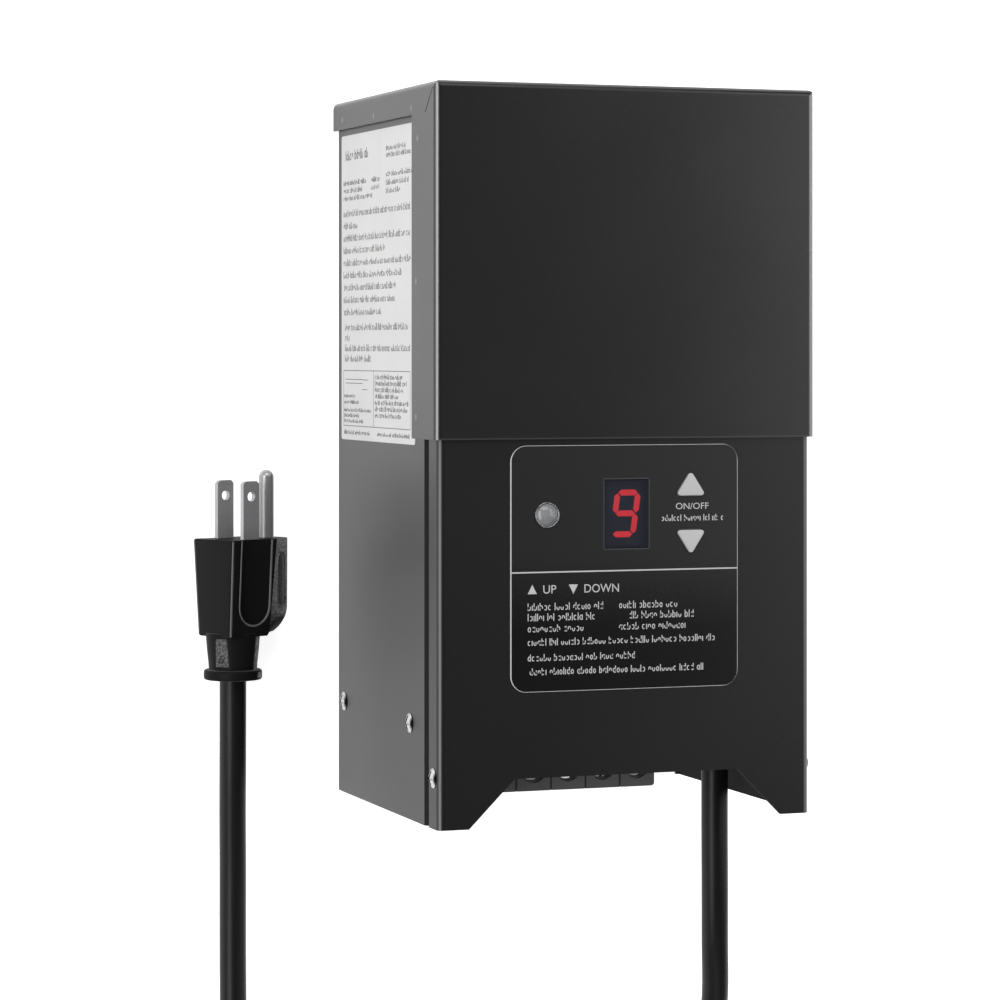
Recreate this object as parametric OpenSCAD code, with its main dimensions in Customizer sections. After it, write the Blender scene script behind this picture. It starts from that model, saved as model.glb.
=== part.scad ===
// Outdoor low voltage power unit: a folded steel housing with a hood, a control
// window, a four-cell terminal block and a mains cord with a three-pin plug.
// The unit lies on its back. X runs across the front, Y towards the hood's top,
// Z out of the front face. The origin is the middle of the back panel.
// Heights named *_y are measured from the ends of the legs.

/* [Housing] */
// Width over the hood
unit_w = 121.8; // [118:0.1:130]
// Height from the leg ends to the top of the hood
unit_h = 220; // [218:1:240]
// Depth from the back panel to the front of the hood
unit_d = 103; // [102:1:115]
// Thickness of the sheet steel
sheet_t = 1; // [0.8:0.1:1.2]
// Outer radius of the bends
bend_r = 2; // [1.6:0.1:2.6]
// Depth of the side walls up to their set-in edge
side_d = 88.8; // [84:0.2:90]
// Width of each leg at its end
leg_w = 9.6; // [7:0.1:12]
// Height of the notch between the legs
notch_h = 14.3; // [12:0.1:16]

/* [Hood] */
// Height of the hood's front
hood_h = 105.5; // [103:0.5:108]
// Height of the lips along the sides of the top
lip_h = 9; // [7:0.5:12]
// Depth of the returns beside the front
return_d = 22.3; // [20:0.1:34]
// Width of the mitre slit at each top corner
slit_w = 0.5; // [0.3:0.1:0.8]

/* [Front panel] */
// Depth of the side flanges of the front panel
flange_d = 8.5; // [7.5:0.1:12]
// Length of the front panel that tucks under the hood
tuck_h = 7; // [5:0.5:9]

/* [Control window] */
// Width of the overlay
overlay_w = 73; // [70:0.5:80]
// Height of the overlay
overlay_h = 72.9; // [72:0.1:74]
// Thickness of the overlay
overlay_t = 0.25; // [0.15:0.05:0.4]
// Corner radius of the overlay
overlay_r = 5; // [3:0.5:8]
// Width of the display window
window_w = 13.7; // [13.5:0.1:16]
// Height of the display window
window_h = 20.2; // [20:0.1:22]
// Width of a button
button_w = 8.3; // [8:0.1:10]
// Height of a button
button_h = 6.8; // [6.5:0.1:8]
// Travel of a button
button_travel = 0.5; // [0.3:0.1:0.6]
// Diameter of the photocell's lens
lens_d = 6.6; // [5.5:0.1:7]

/* [Shelf] */
// Height of the underside of the shelf
shelf_y = 24; // [23:0.5:26]
// Height of the shelf's side flanges
shelf_flange_h = 10; // [9:0.5:12]

/* [Terminal block] */
// Number of cells
cell_n = 4; // [4:1:4]
// Distance from cell to cell
cell_pitch = 11.2; // [11:0.1:12]
// Height of the block
block_h = 16.5; // [16:0.1:18]
// Depth of the block
block_d = 24; // [22:0.5:28]
// Travel of a clamp plate, four turns of the screw
clamp_travel = 2.8; // [2:0.1:2.9]
// Diameter of a terminal screw's thread
clamp_screw_d = 4; // [3.5:0.1:4]

/* [Transformer] */
// Width of the core's side legs and yokes
core_unit = 17.5; // [16:0.25:17.5]
// Thickness of the stack of laminations
stack_t = 50; // [44:1:52]
// Gap behind the core
core_gap = 17; // [16:0.5:18]

/* [Wall holes] */
// Distance between the two keyholes
key_pitch = 50.8; // [40:0.1:60]
// Diameter of the entry hole
key_d = 9; // [8:0.5:10]
// Width of the slot
key_slot_w = 4.6; // [4:0.1:5.5]
// Length from the entry hole's centre to the slot's end
key_rise = 9; // [8:0.5:10]

/* [Cord] */
// Diameter of the mains cord
cord_d = 8.4; // [8:0.1:8.4]
// Outer radius of the coil along the cord's middle
coil_r = 58; // [56:1:60]
// Step of the coil from turn to turn
coil_step = 10.4; // [10.2:0.1:11]

/* [Hidden] */
$fn = 48;

// Colours
steel_paint = "#2b2b2c";
zinc = "#c9cbcc";
brass_tone = "#c8a24b";
moulding = "#303133";
cord_black = "#1b1b1c";

// Clearances and the overrun of a cut
overrun = 1;
hood_gap = 0.3;
seat_gap = 0.15;
slide_gap = 0.3;
bore_gap = 0.05;
edge_r = 1;
corner_steps = 8;

// Housing
hood_y = unit_h - hood_h;
body_w = unit_w - 2 * (sheet_t + hood_gap);
body_h = unit_h - sheet_t - hood_gap;
body_side_h = unit_h - bend_r - hood_gap;
panel_z = unit_d - sheet_t - hood_gap;
panel_in_z = panel_z - sheet_t;
panel_h = hood_y + tuck_h;
shelf_top_y = shelf_y + sheet_t;
wall_x = body_w / 2 - sheet_t;
tongue_x = wall_x - seat_gap;
tongue_in_x = tongue_x - sheet_t;
joggle_run = 1.6;
tongue_set = 0.8;
tongue_z = panel_in_z - tongue_set;
slit_set = 2.2;
slit_foot = 9.2;

// Rating label on the left wall
label_t = 0.12;
label_back_z = 5.3;
label_front_z = unit_d - return_d - hood_gap;
label_drop = 2;
label_low_y = hood_y - label_drop;
label_top_y = unit_h - lip_h - label_drop;

// Wall holes
key_drop = 22;
key_y = unit_h - key_drop;

// Control window, all in one row across the overlay
overlay_x = -0.8;
overlay_drop = 1.9;
window_out = 0.45;
window_x = overlay_x + window_out;
overlay_y = hood_y - overlay_drop - overlay_h;
overlay_z = panel_z + overlay_t;
row_drop = 20.6;
row_y = overlay_y + overlay_h - row_drop;
window_flange = 2;
window_t = 1;
cutout_gap = 0.2;
button_out = 21.1;
button_x = overlay_x + button_out;
button_gap = 10.3;
button_r = 0.8;
button_proud = 0.8;
button_rim = 1.2;
button_rim_t = 1.2;
button_seat = 0.25;
button_rim_z = panel_in_z - button_seat - button_rim_t;
lens_out = 24.9;
lens_x = overlay_x - lens_out;
lens_rim = 0.9;
lens_rise = 0.2;
lens_dome_h = 1.4;
bezel_w = 0.4;
bezel_h = 0.45;
bezel_gap = 0.1;

// Display
display_w = 12.6;
display_h = 19.05;
display_d = 8;
digit_w = 8.3;
digit_out = 0.5;
digit_h = 14.2;
segment_w = 1.75;
segment_t = 0.12;
segment_gap = 0.2;
digit_lean_share = 0.14;
pin_d = 0.6;

// Controller board behind the overlay
board_w = 76;
board_t = 1.6;
board_rise = 16.15;
board_top_in = 1.45;
board_y = shelf_top_y + board_rise;
board_h = overlay_y + overlay_h - board_top_in - board_y;
board_front_z = panel_in_z - window_t - seat_gap - display_d;
board_back_z = board_front_z - board_t;
board_hole_in = 4;
board_hole_d = 3.2;
standoff_d = 6;
board_screw_d = 3;
board_screw_len = 6;
switch_w = 6;
switch_h = 3.5;
plunger_d = 3.5;
plunger_in = 1.2;
plunger_bore_in = plunger_in + button_travel + slide_gap;
sensor_d = 5;
sensor_t = 2;
relay_size = [19, 15.5, 15.5];
relay_at = [-20, 18];
cap_sizes = [[10, 16], [8, 12], [8, 12]];
cap_places = [[4, 18], [16, 17], [16, 30]];
header_size = [16, 6, 9];
header_wall = 1;
header_at = [26, 10];
chip_size = [10, 7, 1.8];
chip_drop = 24;
chip_at = [-4, board_h - chip_drop];

// Shelf
shelf_w = 2 * (wall_x - seat_gap);
shelf_back_z = bend_r + seat_gap;
shelf_side_z = side_d - sheet_t;
shelf_front_z = panel_in_z - slide_gap;
shelf_lip_h = 5;
shelf_screw_y = shelf_y + shelf_flange_h / 2;
shelf_screw_back = 7.9;
shelf_screw_in = 13.7;
shelf_screw_zs = [shelf_screw_back, side_d - shelf_screw_in];
panel_screw_y = 15;
panel_screw_in = 4.5;
panel_screw_z = panel_z - panel_screw_in;
screw_d = 3.5;
screw_len = 6;
screw_head_d = 5.9;
screw_head_h = 1.2;
hole_gap = 0.2;
gland_in = 12.4;
gland_x = wall_x - gland_in;
gland_z = 60;
gland_d = 13;
gland_flange_d = 17;
gland_flange_t = 2;
gland_out_h = 7;
gland_in_h = 9;
gland_neck_d = 11.5;
gland_catch_d = 14.8;
gland_y = shelf_y - gland_out_h;
tail_in_h = 16;

// Terminal block
block_x = -5;
block_end = 0.1;
block_ear = 6;
block_w = cell_n * cell_pitch + 2 * block_end;
block_y = shelf_y - block_h;
block_set = 8.8;
block_z = side_d - block_set;
block_back_z = block_z - block_d;
block_face_t = 1.2;
groove_w = 0.6;
groove_h = 0.6;
clamp_rise = 6.6;
clamp_y = block_y + clamp_rise;
clamp_w = 7.6;
clamp_t = 1;
clamp_rest = 0.3;
cavity_gap = 0.4;
cavity_over = 0.6;
cavity_end = 0.5;
cavity_w = clamp_w + 2 * cavity_gap;
cavity_top_y = clamp_y + clamp_w / 2 + cavity_over;
conductor_t = 1;
conductor_w = clamp_w;
tab_w = 6.3;
tab_t = 0.8;
tab_h = 8;
head_d = 7;
head_h = 2.8;
head_gap = 0.65;
face_hole_d = head_d + 2 * head_gap;
cavity_d = conductor_t + clamp_rest + clamp_t + clamp_travel + cavity_end;
cavity_z = block_z - block_face_t - cavity_d;
clamp_z = cavity_z + conductor_t + clamp_rest;
screw_tail = 9;
block_screw_d = 3;
block_screw_len = 9;
receptacle_size = [7.6, 8, 2.4];
block_slot_d = tab_t + 2 * slide_gap;
block_slot_z = cavity_z + tab_t / 2;
block_screw_in = 6;
block_screw_z = block_back_z + block_screw_in;
shelf_slot_gap = 0.8;
shelf_slot_w = (cell_n - 1) * cell_pitch + tab_w + 2 * shelf_slot_gap;

// Transformer
core_side = 6.1;
core_end = 8.35;
core_w = 2 * (wall_x - core_side);
core_h = body_h - hood_y - 2 * core_end;
core_slot_w = core_w / 2 - 2 * core_unit;
core_slot_h = core_h - 2 * core_unit;
core_y = (hood_y + body_h) / 2;
core_back_z = sheet_t + core_gap;
core_front_z = core_back_z + stack_t;
core_mid_z = core_back_z + stack_t / 2;
core_hole_d = 4.6;
stud_d = 4;
spacer_d = 9;
nut_af = 7;
nut_h = 3.2;
washer_d = 9;
washer_t = 0.8;
stud_proud = 2;
bobbin_t = 1.5;
bobbin_gap = 0.3;
bobbin_proud = 14;
winding_in = 1.5;
winding_r = 6;
protector_size = [15, 8, 3.8];
bobbin_w = core_unit * 2 + 2 * (bobbin_gap + bobbin_t);
bobbin_d = stack_t + 2 * (bobbin_gap + bobbin_t);
bobbin_h = core_slot_h - 2 * bobbin_gap;
former_w = 2 * (core_unit + core_slot_w - bobbin_gap);
former_d = stack_t + 2 * bobbin_proud;
section_h = (bobbin_h - 3 * bobbin_t) / 2;
winding_front_z = core_mid_z + former_d / 2 - winding_in;

// Ground point on the shelf
ground_out = 15.2;
ground_in = 10.8;
ground_x = gland_x - ground_out;
ground_z = side_d - ground_in;
ground_screw_len = 8;
lug_d = 8.5;
lug_t = 0.8;
lug_len = 16;
lug_barrel_d = 3.6;

// Leads inside the housing
lead_d = 2.4;
lead_sides = 6;
lead_spread = 2.4;
lead_step = 3;
lead_low_y = core_y - bobbin_h / 2;
lead_z = winding_front_z - lead_spread;
tail_top_y = shelf_top_y + tail_in_h;

// Cord outside the housing. The route is on the floor that the unit lies on, and
// its points are in the frame of the whole unit.
cord_sides = 10;
coil_sides = 6;
coil_rings = 24;
coil_turns_in = 1.5;
coil_layer = 9.1;
coil_lead = 9;
coil_x = -22;
coil_y = -268;
cord_rest_z = 4.3;
coil_top_z = cord_rest_z + coil_layer;
coil_in = 360 * coil_turns_in;
coil_turn = 2 * coil_in + 180;
run_out_route = [
    [46.2, -93, 60], [46.2, -103, 60], [46.2, -120, 60], [46.7, -138, 59], [48, -156, 56],
    [50.4, -174, 50.5], [51.6, -190, 43.5], [51, -205, 35.5], [48.8, -219, 27.5], [45, -232, 20],
    [39.4, -244, 15], [36, -253, 13.4], [36, -259, 13.4]
];
run_plug_route = [
    [-97.7, -72.3, 13.1], [-97.7, -81, 13.1], [-97.4, -98, 11.8], [-96.7, -115, 9], [-95.9, -132, 6.3],
    [-95.5, -150, 4.8], [-95.3, -168, 4.3], [-95, -186, 4.3], [-93.5, -204, 4.3], [-90, -221, 4.3],
    [-85, -237, 4.3], [-80, -252, 4.3], [-80, -259, 4.3]
];

// Plug
plug_at = [-97.7, -28.3, 13.1];
plug_turn = 24;
plug_face_half = 10;
plug_foot_half = 8.1;
plug_flat_v = -8;
plug_side_v = 9.6;
plug_nose_v = 18.3;
plug_nose_half = 5;
plug_foot_flat_v = -7.5;
plug_foot_side_v = 7.9;
plug_edge_r = 1.2;
plug_slice_t = 0.5;
plug_body_len = 30.3;
plug_nose_r = 11;
plug_neck_len = 10.5;
plug_neck_in = 1;
plug_neck_top_d = 17.1;
plug_neck_low_d = 15.1;
plug_collar_d = 18.3;
plug_collar_len = 3.2;
plug_scoop_w = 11;
plug_scoop_len = 27;
plug_scoop_in = 0.9;
plug_pad_w = 5;
plug_pad_len = 17;
plug_pad_in = 0.7;
blade_v = 1.65;
blade_gap = 12.7;
blade_w = 6.35;
blade_t = 1.5;
blade_len = 18.2;
blade_root = 9;
blade_hole_d = 3;
blade_hole_in = 4.8;
blade_bevel = 0.9;
pin_gap = 11.9;
pin_v = blade_v + pin_gap;
ground_pin_d = 4.75;
ground_pin_root_d = 5.6;
ground_pin_len = 21.4;

// Places a piece measured from the leg ends into the unit's frame
module in_place() {
    translate([0, -unit_h / 2, 0]) children();
}

// Raises an outline in x and z from height y0 to height y1
module rise(y0, y1) {
    translate([0, y1, 0]) rotate([90, 0, 0]) linear_extrude(y1 - y0) children();
}

// Runs an outline in z and y across from x0 to x1
module across(x0, x1) {
    translate([x1, 0, 0]) rotate([0, -90, 0]) linear_extrude(x1 - x0) children();
}

// Raises an outline in x and y out from z0 to z1
module out(z0, z1) {
    translate([0, 0, z0]) linear_extrude(z1 - z0) children();
}

// What a fillet of radius r takes off a corner, whose outline runs towards dx and dy
module corner_waste(x, y, dx, dy, r) {
    difference() {
        translate([x - (dx > 0 ? overrun : r), y - (dy > 0 ? overrun : r)]) square(r + overrun);
        translate([x + dx * r, y + dy * r]) circle(r);
    }
}

// Rectangle between two corners; round_at marks its rounded corners, low left first, anticlockwise
module rounded(x0, y0, x1, y1, r, round_at = [1, 1, 1, 1]) {
    places = [[x0, y0, 1, 1], [x1, y0, -1, 1], [x1, y1, -1, -1], [x0, y1, 1, -1]];
    difference() {
        translate([x0, y0]) square([x1 - x0, y1 - y0]);
        for (i = [0:len(places) - 1])
            if (round_at[i] > 0)
                corner_waste(places[i][0], places[i][1], places[i][2], places[i][3], r);
    }
}

// U-shaped section of folded sheet, closed along y = 0
module folded(w, d, t, r) {
    difference() {
        rounded(-w / 2, 0, w / 2, d, r, [1, 1, 0, 0]);
        rounded(t - w / 2, t, w / 2 - t, d + overrun, r - t, [1, 1, 0, 0]);
    }
}

// Outline of straight sides and round corners of radius r about the given points
function facing(a, b) = atan2(a[0] - b[0], b[1] - a[1]);
module round_cornered(points, r) {
    n = len(points);
    polygon([
        for (i = [0:n - 1])
            let (
                start = facing(points[(i + n - 1) % n], points[i]),
                turn = (facing(points[i], points[(i + 1) % n]) - start + 360) % 360
            )
            for (k = [0:corner_steps])
                points[i] + r * [cos(start + turn * k / corner_steps), sin(start + turn * k / corner_steps)]
    ]);
}

// Triangle of a button with its base on y = 0, grown by a margin
module button_outline(margin) {
    half = button_w / 2 - button_r;
    round_cornered(
        [[-half, button_r], [half, button_r], [0, button_h - button_r]], button_r + margin
    );
}

// Each button's place in the row: which = 1 points up, which = -1 points down
module at_button(which) {
    translate([button_x, row_y + which * button_gap / 2, 0])
        if (which > 0) children();
        else mirror([0, 1, 0]) children();
}

// The notch between the legs
module notch_outline() {
    foot = body_w / 2 - leg_w;
    polygon([
        [-foot - overrun, -overrun], [foot + overrun, -overrun], [foot, 0],
        [foot - notch_h, notch_h], [notch_h - foot, notch_h], [-foot, 0]
    ]);
}

// The cut between the side walls at the foot of the back
module back_notch_outline() {
    half = body_w / 2 - bend_r;
    translate([-half, -overrun]) square([2 * half, notch_h + overrun]);
}

// Pan head screw along +Z: its seat is at z = 0, its shank runs down
module pan_screw(d, len, cap_d, cap_h) {
    dome_r = (cap_d * cap_d / 4 + cap_h * cap_h) / (2 * cap_h) * 1.15;
    slot_w = d * 0.28;
    slot_h = cap_h * 0.5;
    difference() {
        intersection() {
            cylinder(h = cap_h, d = cap_d);
            translate([0, 0, cap_h - dome_r]) sphere(dome_r);
        }
        for (turn = [0, 90])
            rotate([0, 0, turn]) translate([-d * 0.6, -slot_w / 2, cap_h - slot_h])
                cube([d * 1.2, slot_w, slot_h + overrun]);
    }
    translate([0, 0, -len]) cylinder(h = len, d = d);
}

// Places something that points along +Z so that it points out of the left or right wall
module on_wall(side, y, z) {
    translate([side * body_w / 2, y, z]) rotate([0, side * 90, 0]) children();
}

// A set-in tongue beside one wall of the body, in x and z
module tongue_outline() {
    polygon([
        [wall_x + sheet_t, side_d - sheet_t], [wall_x + sheet_t, side_d],
        [tongue_x, side_d + joggle_run], [tongue_x, tongue_z], [tongue_in_x, tongue_z],
        [tongue_in_x, side_d + joggle_run], [wall_x, side_d], [wall_x, side_d - sheet_t]
    ]);
}

module keyhole() {
    circle(d = key_d);
    translate([0, key_rise - key_slot_w / 2]) circle(d = key_slot_w);
    translate([-key_slot_w / 2, 0]) square([key_slot_w, key_rise - key_slot_w / 2]);
}

module housing_body() {
    color(steel_paint) in_place() difference() {
        union() {
            rise(0, body_h) folded(body_w, side_d, sheet_t, bend_r);
            rise(0, panel_h) tongue_outline();
            rise(0, panel_h) mirror([1, 0]) tongue_outline();
        }
        out(-overrun, sheet_t + overrun) back_notch_outline();
        for (side = [-1, 1]) {
            out(-overrun, sheet_t + overrun) translate([side * key_pitch / 2, key_y]) keyhole();
            translate([side * body_w / 2, (body_side_h + unit_h) / 2, side_d / 2])
                cube([2 * bend_r, unit_h - body_side_h, 2 * side_d], center = true);
        }
        for (side = [-1, 1]) {
            for (z = shelf_screw_zs)
                on_wall(side, shelf_screw_y, z) wall_hole(sheet_t, screw_d + 2 * hole_gap);
            on_wall(side, panel_screw_y, panel_screw_z) wall_hole(sheet_t + seat_gap + sheet_t, screw_d);
        }
    }
}

// Hole through a wall of thickness t, drilled from outside
module wall_hole(t, d) {
    translate([0, 0, -t - overrun]) cylinder(h = t + 2 * overrun, d = d);
}

// Solid outline of the hood, set in by one thickness for its inside
module hood_block(inset) {
    half = unit_w / 2 - inset;
    top = unit_h - inset;
    front = unit_d - inset;
    open = inset > 0 ? overrun : 0;
    r = bend_r - inset;
    intersection() {
        rise(hood_y - open, top) rounded(-half, -open, half, front, r, [0, 0, 1, 1]);
        across(-half, half) rounded(-open, hood_y - open, front, top, r, [0, 0, 1, 0]);
        out(-open, front) rounded(-half, hood_y - open, half, top, r, [0, 0, 1, 1]);
    }
}

// The mitre slit between lip and return, in z and y
module slit_outline() {
    top = unit_h - bend_r;
    foot = unit_h - lip_h;
    polygon([
        [unit_d - slit_set, top], [unit_d - slit_foot, foot],
        [unit_d - slit_foot - slit_w, foot], [unit_d - slit_set - slit_w, top]
    ]);
}

module hood() {
    color(steel_paint) in_place() difference() {
        hood_block(0);
        hood_block(sheet_t);
        translate([-unit_w, hood_y - overrun, -overrun])
            cube([2 * unit_w, hood_h - lip_h + overrun, unit_d - return_d + overrun]);
        across(-unit_w, unit_w) slit_outline();
    }
}

module front_panel() {
    color(steel_paint) in_place() difference() {
        rise(0, panel_h) translate([0, panel_z]) mirror([0, 1]) folded(body_w, flange_d, sheet_t, bend_r);
        out(panel_in_z - overrun, panel_z + overrun) {
            notch_outline();
            translate([window_x, row_y]) window_outline(cutout_gap);
            translate([lens_x, row_y]) circle(d = lens_d + 2 * slide_gap);
            for (which = [-1, 1]) at_button(which) button_outline(slide_gap);
        }
        for (side = [-1, 1])
            on_wall(side, panel_screw_y, panel_screw_z) wall_hole(sheet_t, screw_d + 2 * hole_gap);
    }
}

module shelf() {
    color(steel_paint) in_place() difference() {
        union() {
            translate([0, shelf_y, 0]) out(shelf_back_z, shelf_side_z)
                folded(shelf_w, shelf_flange_h, sheet_t, bend_r);
            translate([0, shelf_y, 0]) across(-tongue_in_x + seat_gap, tongue_in_x - seat_gap)
                shelf_lip_outline();
        }
        rise(shelf_y - overrun, shelf_top_y + overrun) {
            translate([gland_x, gland_z]) circle(d = gland_d + 2 * hole_gap);
            translate([ground_x, ground_z]) circle(d = screw_d + 2 * bore_gap);
            translate([block_x, block_slot_z])
                square([shelf_slot_w, block_slot_d + 2 * tab_t], center = true);
            for (side = [-1, 1])
                translate([block_x + side * cell_pitch, block_screw_z])
                    circle(d = block_screw_d + 2 * hole_gap);
        }
        for (side = [-1, 1], z = shelf_screw_zs)
            on_wall(side, shelf_screw_y, z) wall_hole(2 * sheet_t + seat_gap, screw_d + 2 * bore_gap);
    }
}

// The shelf's front stretch with its lip turned up, in z and y from the shelf's underside
module shelf_lip_outline() {
    difference() {
        rounded(shelf_side_z - sheet_t, 0, shelf_front_z, shelf_lip_h, bend_r, [0, 1, 0, 0]);
        rounded(
            shelf_side_z - sheet_t - overrun, sheet_t, shelf_front_z - sheet_t,
            shelf_lip_h + overrun, bend_r - sheet_t, [0, 1, 0, 0]
        );
    }
}

module shelf_screws() {
    color(zinc) in_place() for (side = [-1, 1], z = shelf_screw_zs)
        on_wall(side, shelf_screw_y, z) pan_screw(screw_d, screw_len, screw_head_d, screw_head_h);
}

module front_panel_screws() {
    color(zinc) in_place() for (side = [-1, 1])
        on_wall(side, panel_screw_y, panel_screw_z)
            pan_screw(screw_d - 2 * bore_gap, screw_len, screw_head_d, screw_head_h);
}

// The label fills the side wall between the back edge, the return and the lip
module rating_label() {
    color("#e6e6e4") in_place() translate([-body_w / 2, 0, 0]) across(-label_t, 0)
        rounded(label_back_z, label_low_y, label_front_z, label_top_y, edge_r);
}

module control_overlay() {
    color("#1d1e20") in_place() out(panel_z, overlay_z) difference() {
        translate([overlay_x, overlay_y])
            rounded(-overlay_w / 2, 0, overlay_w / 2, overlay_h, overlay_r);
        translate([window_x, row_y]) window_outline(cutout_gap);
        translate([lens_x, row_y]) circle(d = lens_d + 2 * slide_gap);
        for (which = [-1, 1]) at_button(which) button_outline(slide_gap);
    }
}

module window_outline(margin) {
    square([window_w + 2 * margin, window_h + 2 * margin], center = true);
}

module display_window() {
    color("#1b2033") in_place() translate([window_x, row_y, 0]) {
        out(panel_in_z - window_t, panel_in_z) window_outline(window_flange);
        out(panel_in_z, overlay_z) window_outline(0);
    }
}

module display_module() {
    color("#0d0f16") in_place() translate([window_x, row_y, 0]) {
        out(board_front_z, board_front_z + display_d)
            square([display_w, display_h], center = true);
    }
}

// One bar of the digit between two points, with pointed ends
module segment_bar(a, b) {
    along = (b - a) / norm(b - a);
    side = [along[1], -along[0]] * segment_w / 2;
    first = a + along * segment_gap;
    last = b - along * segment_gap;
    inset = along * segment_w / 2;
    polygon([first, first + inset + side, last - inset + side, last, last - inset - side, first + inset - side]);
}

// A lit 9: every bar of the digit but the lower left one
module digit_segments() {
    half_w = (digit_w - segment_w) / 2;
    half_h = (digit_h - segment_w) / 2;
    corners = [for (y = [-half_h, 0, half_h]) for (x = [-half_w, half_w]) [x + y * digit_lean_share, y]];
    bars = [[0, 1], [1, 3], [2, 3], [2, 4], [3, 5], [4, 5]];
    face_z = board_front_z + display_d;
    color("#ff2a2a") in_place() translate([window_x + digit_out, row_y, 0])
        for (bar = bars) out(face_z, face_z + segment_t) segment_bar(corners[bar[0]], corners[bar[1]]);
}

module photocell_lens() {
    lens_top_z = overlay_z + lens_rise;
    dome_r = (lens_d * lens_d / 4 + lens_dome_h * lens_dome_h) / (2 * lens_dome_h);
    color("#8a8d90") in_place() translate([lens_x, row_y, 0]) {
        translate([0, 0, panel_in_z - window_t]) cylinder(h = window_t, d = lens_d + 2 * (slide_gap + lens_rim));
        translate([0, 0, panel_in_z]) cylinder(h = lens_top_z - panel_in_z, d = lens_d);
        intersection() {
            translate([0, 0, lens_top_z + lens_dome_h - dome_r]) sphere(dome_r);
            translate([0, 0, lens_top_z - seat_gap]) cylinder(h = dome_r, d = lens_d);
        }
    }
}

module photocell_bezel() {
    inner = lens_d + 2 * bezel_gap;
    color("#b9bbbd") in_place() translate([lens_x, row_y, overlay_z]) rotate_extrude()
        translate([inner / 2, 0]) rounded(0, 0, bezel_w, bezel_h, bezel_w * 0.4, [0, 0, 1, 1]);
}

module photocell_sensor() {
    top_z = panel_in_z - window_t - seat_gap;
    color("#b5694a") in_place() translate([lens_x, row_y, 0]) {
        translate([0, 0, top_z - sensor_t]) cylinder(h = sensor_t, d = sensor_d);
        for (side = [-1, 1])
            translate([side * sensor_d / 3, 0, board_front_z])
                cylinder(h = top_z - sensor_t - board_front_z, d = pin_d, $fn = 16);
    }
}

module button_cap() {
    out(button_rim_z, button_rim_z + button_rim_t) button_outline(button_rim);
    out(button_rim_z + button_rim_t, overlay_z + button_proud) button_outline(0);
}

module up_button() {
    color("#d5d6d6") in_place() at_button(1) button_cap();
}

module down_button() {
    color("#d5d6d6") in_place() at_button(-1) button_cap();
}

// The plunger meets the cap near the middle of its triangle
module plunger() {
    low_z = board_front_z + switch_h - plunger_in;
    translate([0, button_h / 2, low_z]) cylinder(h = button_rim_z - low_z, d = plunger_d);
}

module up_plunger() {
    color("#1f1f20") in_place() at_button(1) plunger();
}

module down_plunger() {
    color("#1f1f20") in_place() at_button(-1) plunger();
}

module switch_bodies() {
    bore_z = board_front_z + switch_h - plunger_bore_in;
    color("#3a3a3c") in_place() for (which = [-1, 1]) at_button(which)
        translate([0, button_h / 2, 0]) difference() {
            out(board_front_z, board_front_z + switch_h) square(switch_w, center = true);
            translate([0, 0, bore_z]) cylinder(h = plunger_bore_in + overrun, d = plunger_d + 2 * bore_gap);
        }
}

// Places at the board's four holes
module at_board_holes() {
    for (x = [-1, 1], y = [0, 1])
        translate([
            x * (board_w / 2 - board_hole_in),
            board_y + (y > 0 ? board_h - board_hole_in : board_hole_in), 0
        ]) children();
}

module controller_board() {
    color("#2f6b3c") in_place() difference() {
        out(board_back_z, board_front_z)
            rounded(-board_w / 2, board_y, board_w / 2, board_y + board_h, edge_r);
        at_board_holes() translate([0, 0, board_back_z - overrun])
            cylinder(h = board_t + 2 * overrun, d = board_hole_d);
    }
}

module board_standoffs() {
    color(zinc) in_place() at_board_holes() difference() {
        translate([0, 0, board_front_z])
            cylinder(h = panel_in_z - board_front_z, d = standoff_d, $fn = 6);
        translate([0, 0, board_front_z - overrun])
            cylinder(h = board_screw_len + overrun, d = board_screw_d + 2 * bore_gap);
    }
}

module board_screws() {
    color(zinc) in_place() at_board_holes() translate([0, 0, board_back_z]) rotate([180, 0, 0])
        pan_screw(board_screw_d, board_screw_len, 2 * board_screw_d, board_screw_d * 0.6);
}

// Places on the back of the board, measured from its lower edge
module behind_board(at) {
    translate([at[0], board_y + at[1], board_back_z]) children();
}

module relay() {
    color("#2451a3") in_place() behind_board(relay_at) translate([0, 0, -relay_size[2]])
        out(0, relay_size[2])
            rounded(-relay_size[0] / 2, -relay_size[1] / 2, relay_size[0] / 2, relay_size[1] / 2, edge_r);
}

module capacitors() {
    color("#26262b") in_place() for (i = [0:len(cap_sizes) - 1])
        behind_board(cap_places[i]) translate([0, 0, -cap_sizes[i][1]]) difference() {
            cylinder(h = cap_sizes[i][1], d = cap_sizes[i][0]);
            translate([0, 0, cap_sizes[i][1] * 0.8]) rotate_extrude()
                translate([cap_sizes[i][0] / 2, 0]) circle(cap_sizes[i][0] / 16, $fn = 16);
        }
}

module board_header() {
    color("#e3e0d4") in_place() behind_board(header_at) translate([0, 0, -header_size[2]])
        difference() {
            out(0, header_size[2]) square([header_size[0], header_size[1]], center = true);
            out(-overrun, header_size[2] / 2)
                square([header_size[0] - 2 * header_wall, header_size[1] - 2 * header_wall], center = true);
        }
}

module controller_chip() {
    color("#19191b") in_place() behind_board(chip_at) translate([0, 0, -chip_size[2]])
        out(0, chip_size[2]) square([chip_size[0], chip_size[1]], center = true);
}

// Middle of cell i, counted from the left
function cell_x(i) = block_x + (i - (cell_n - 1) / 2) * cell_pitch;

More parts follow.
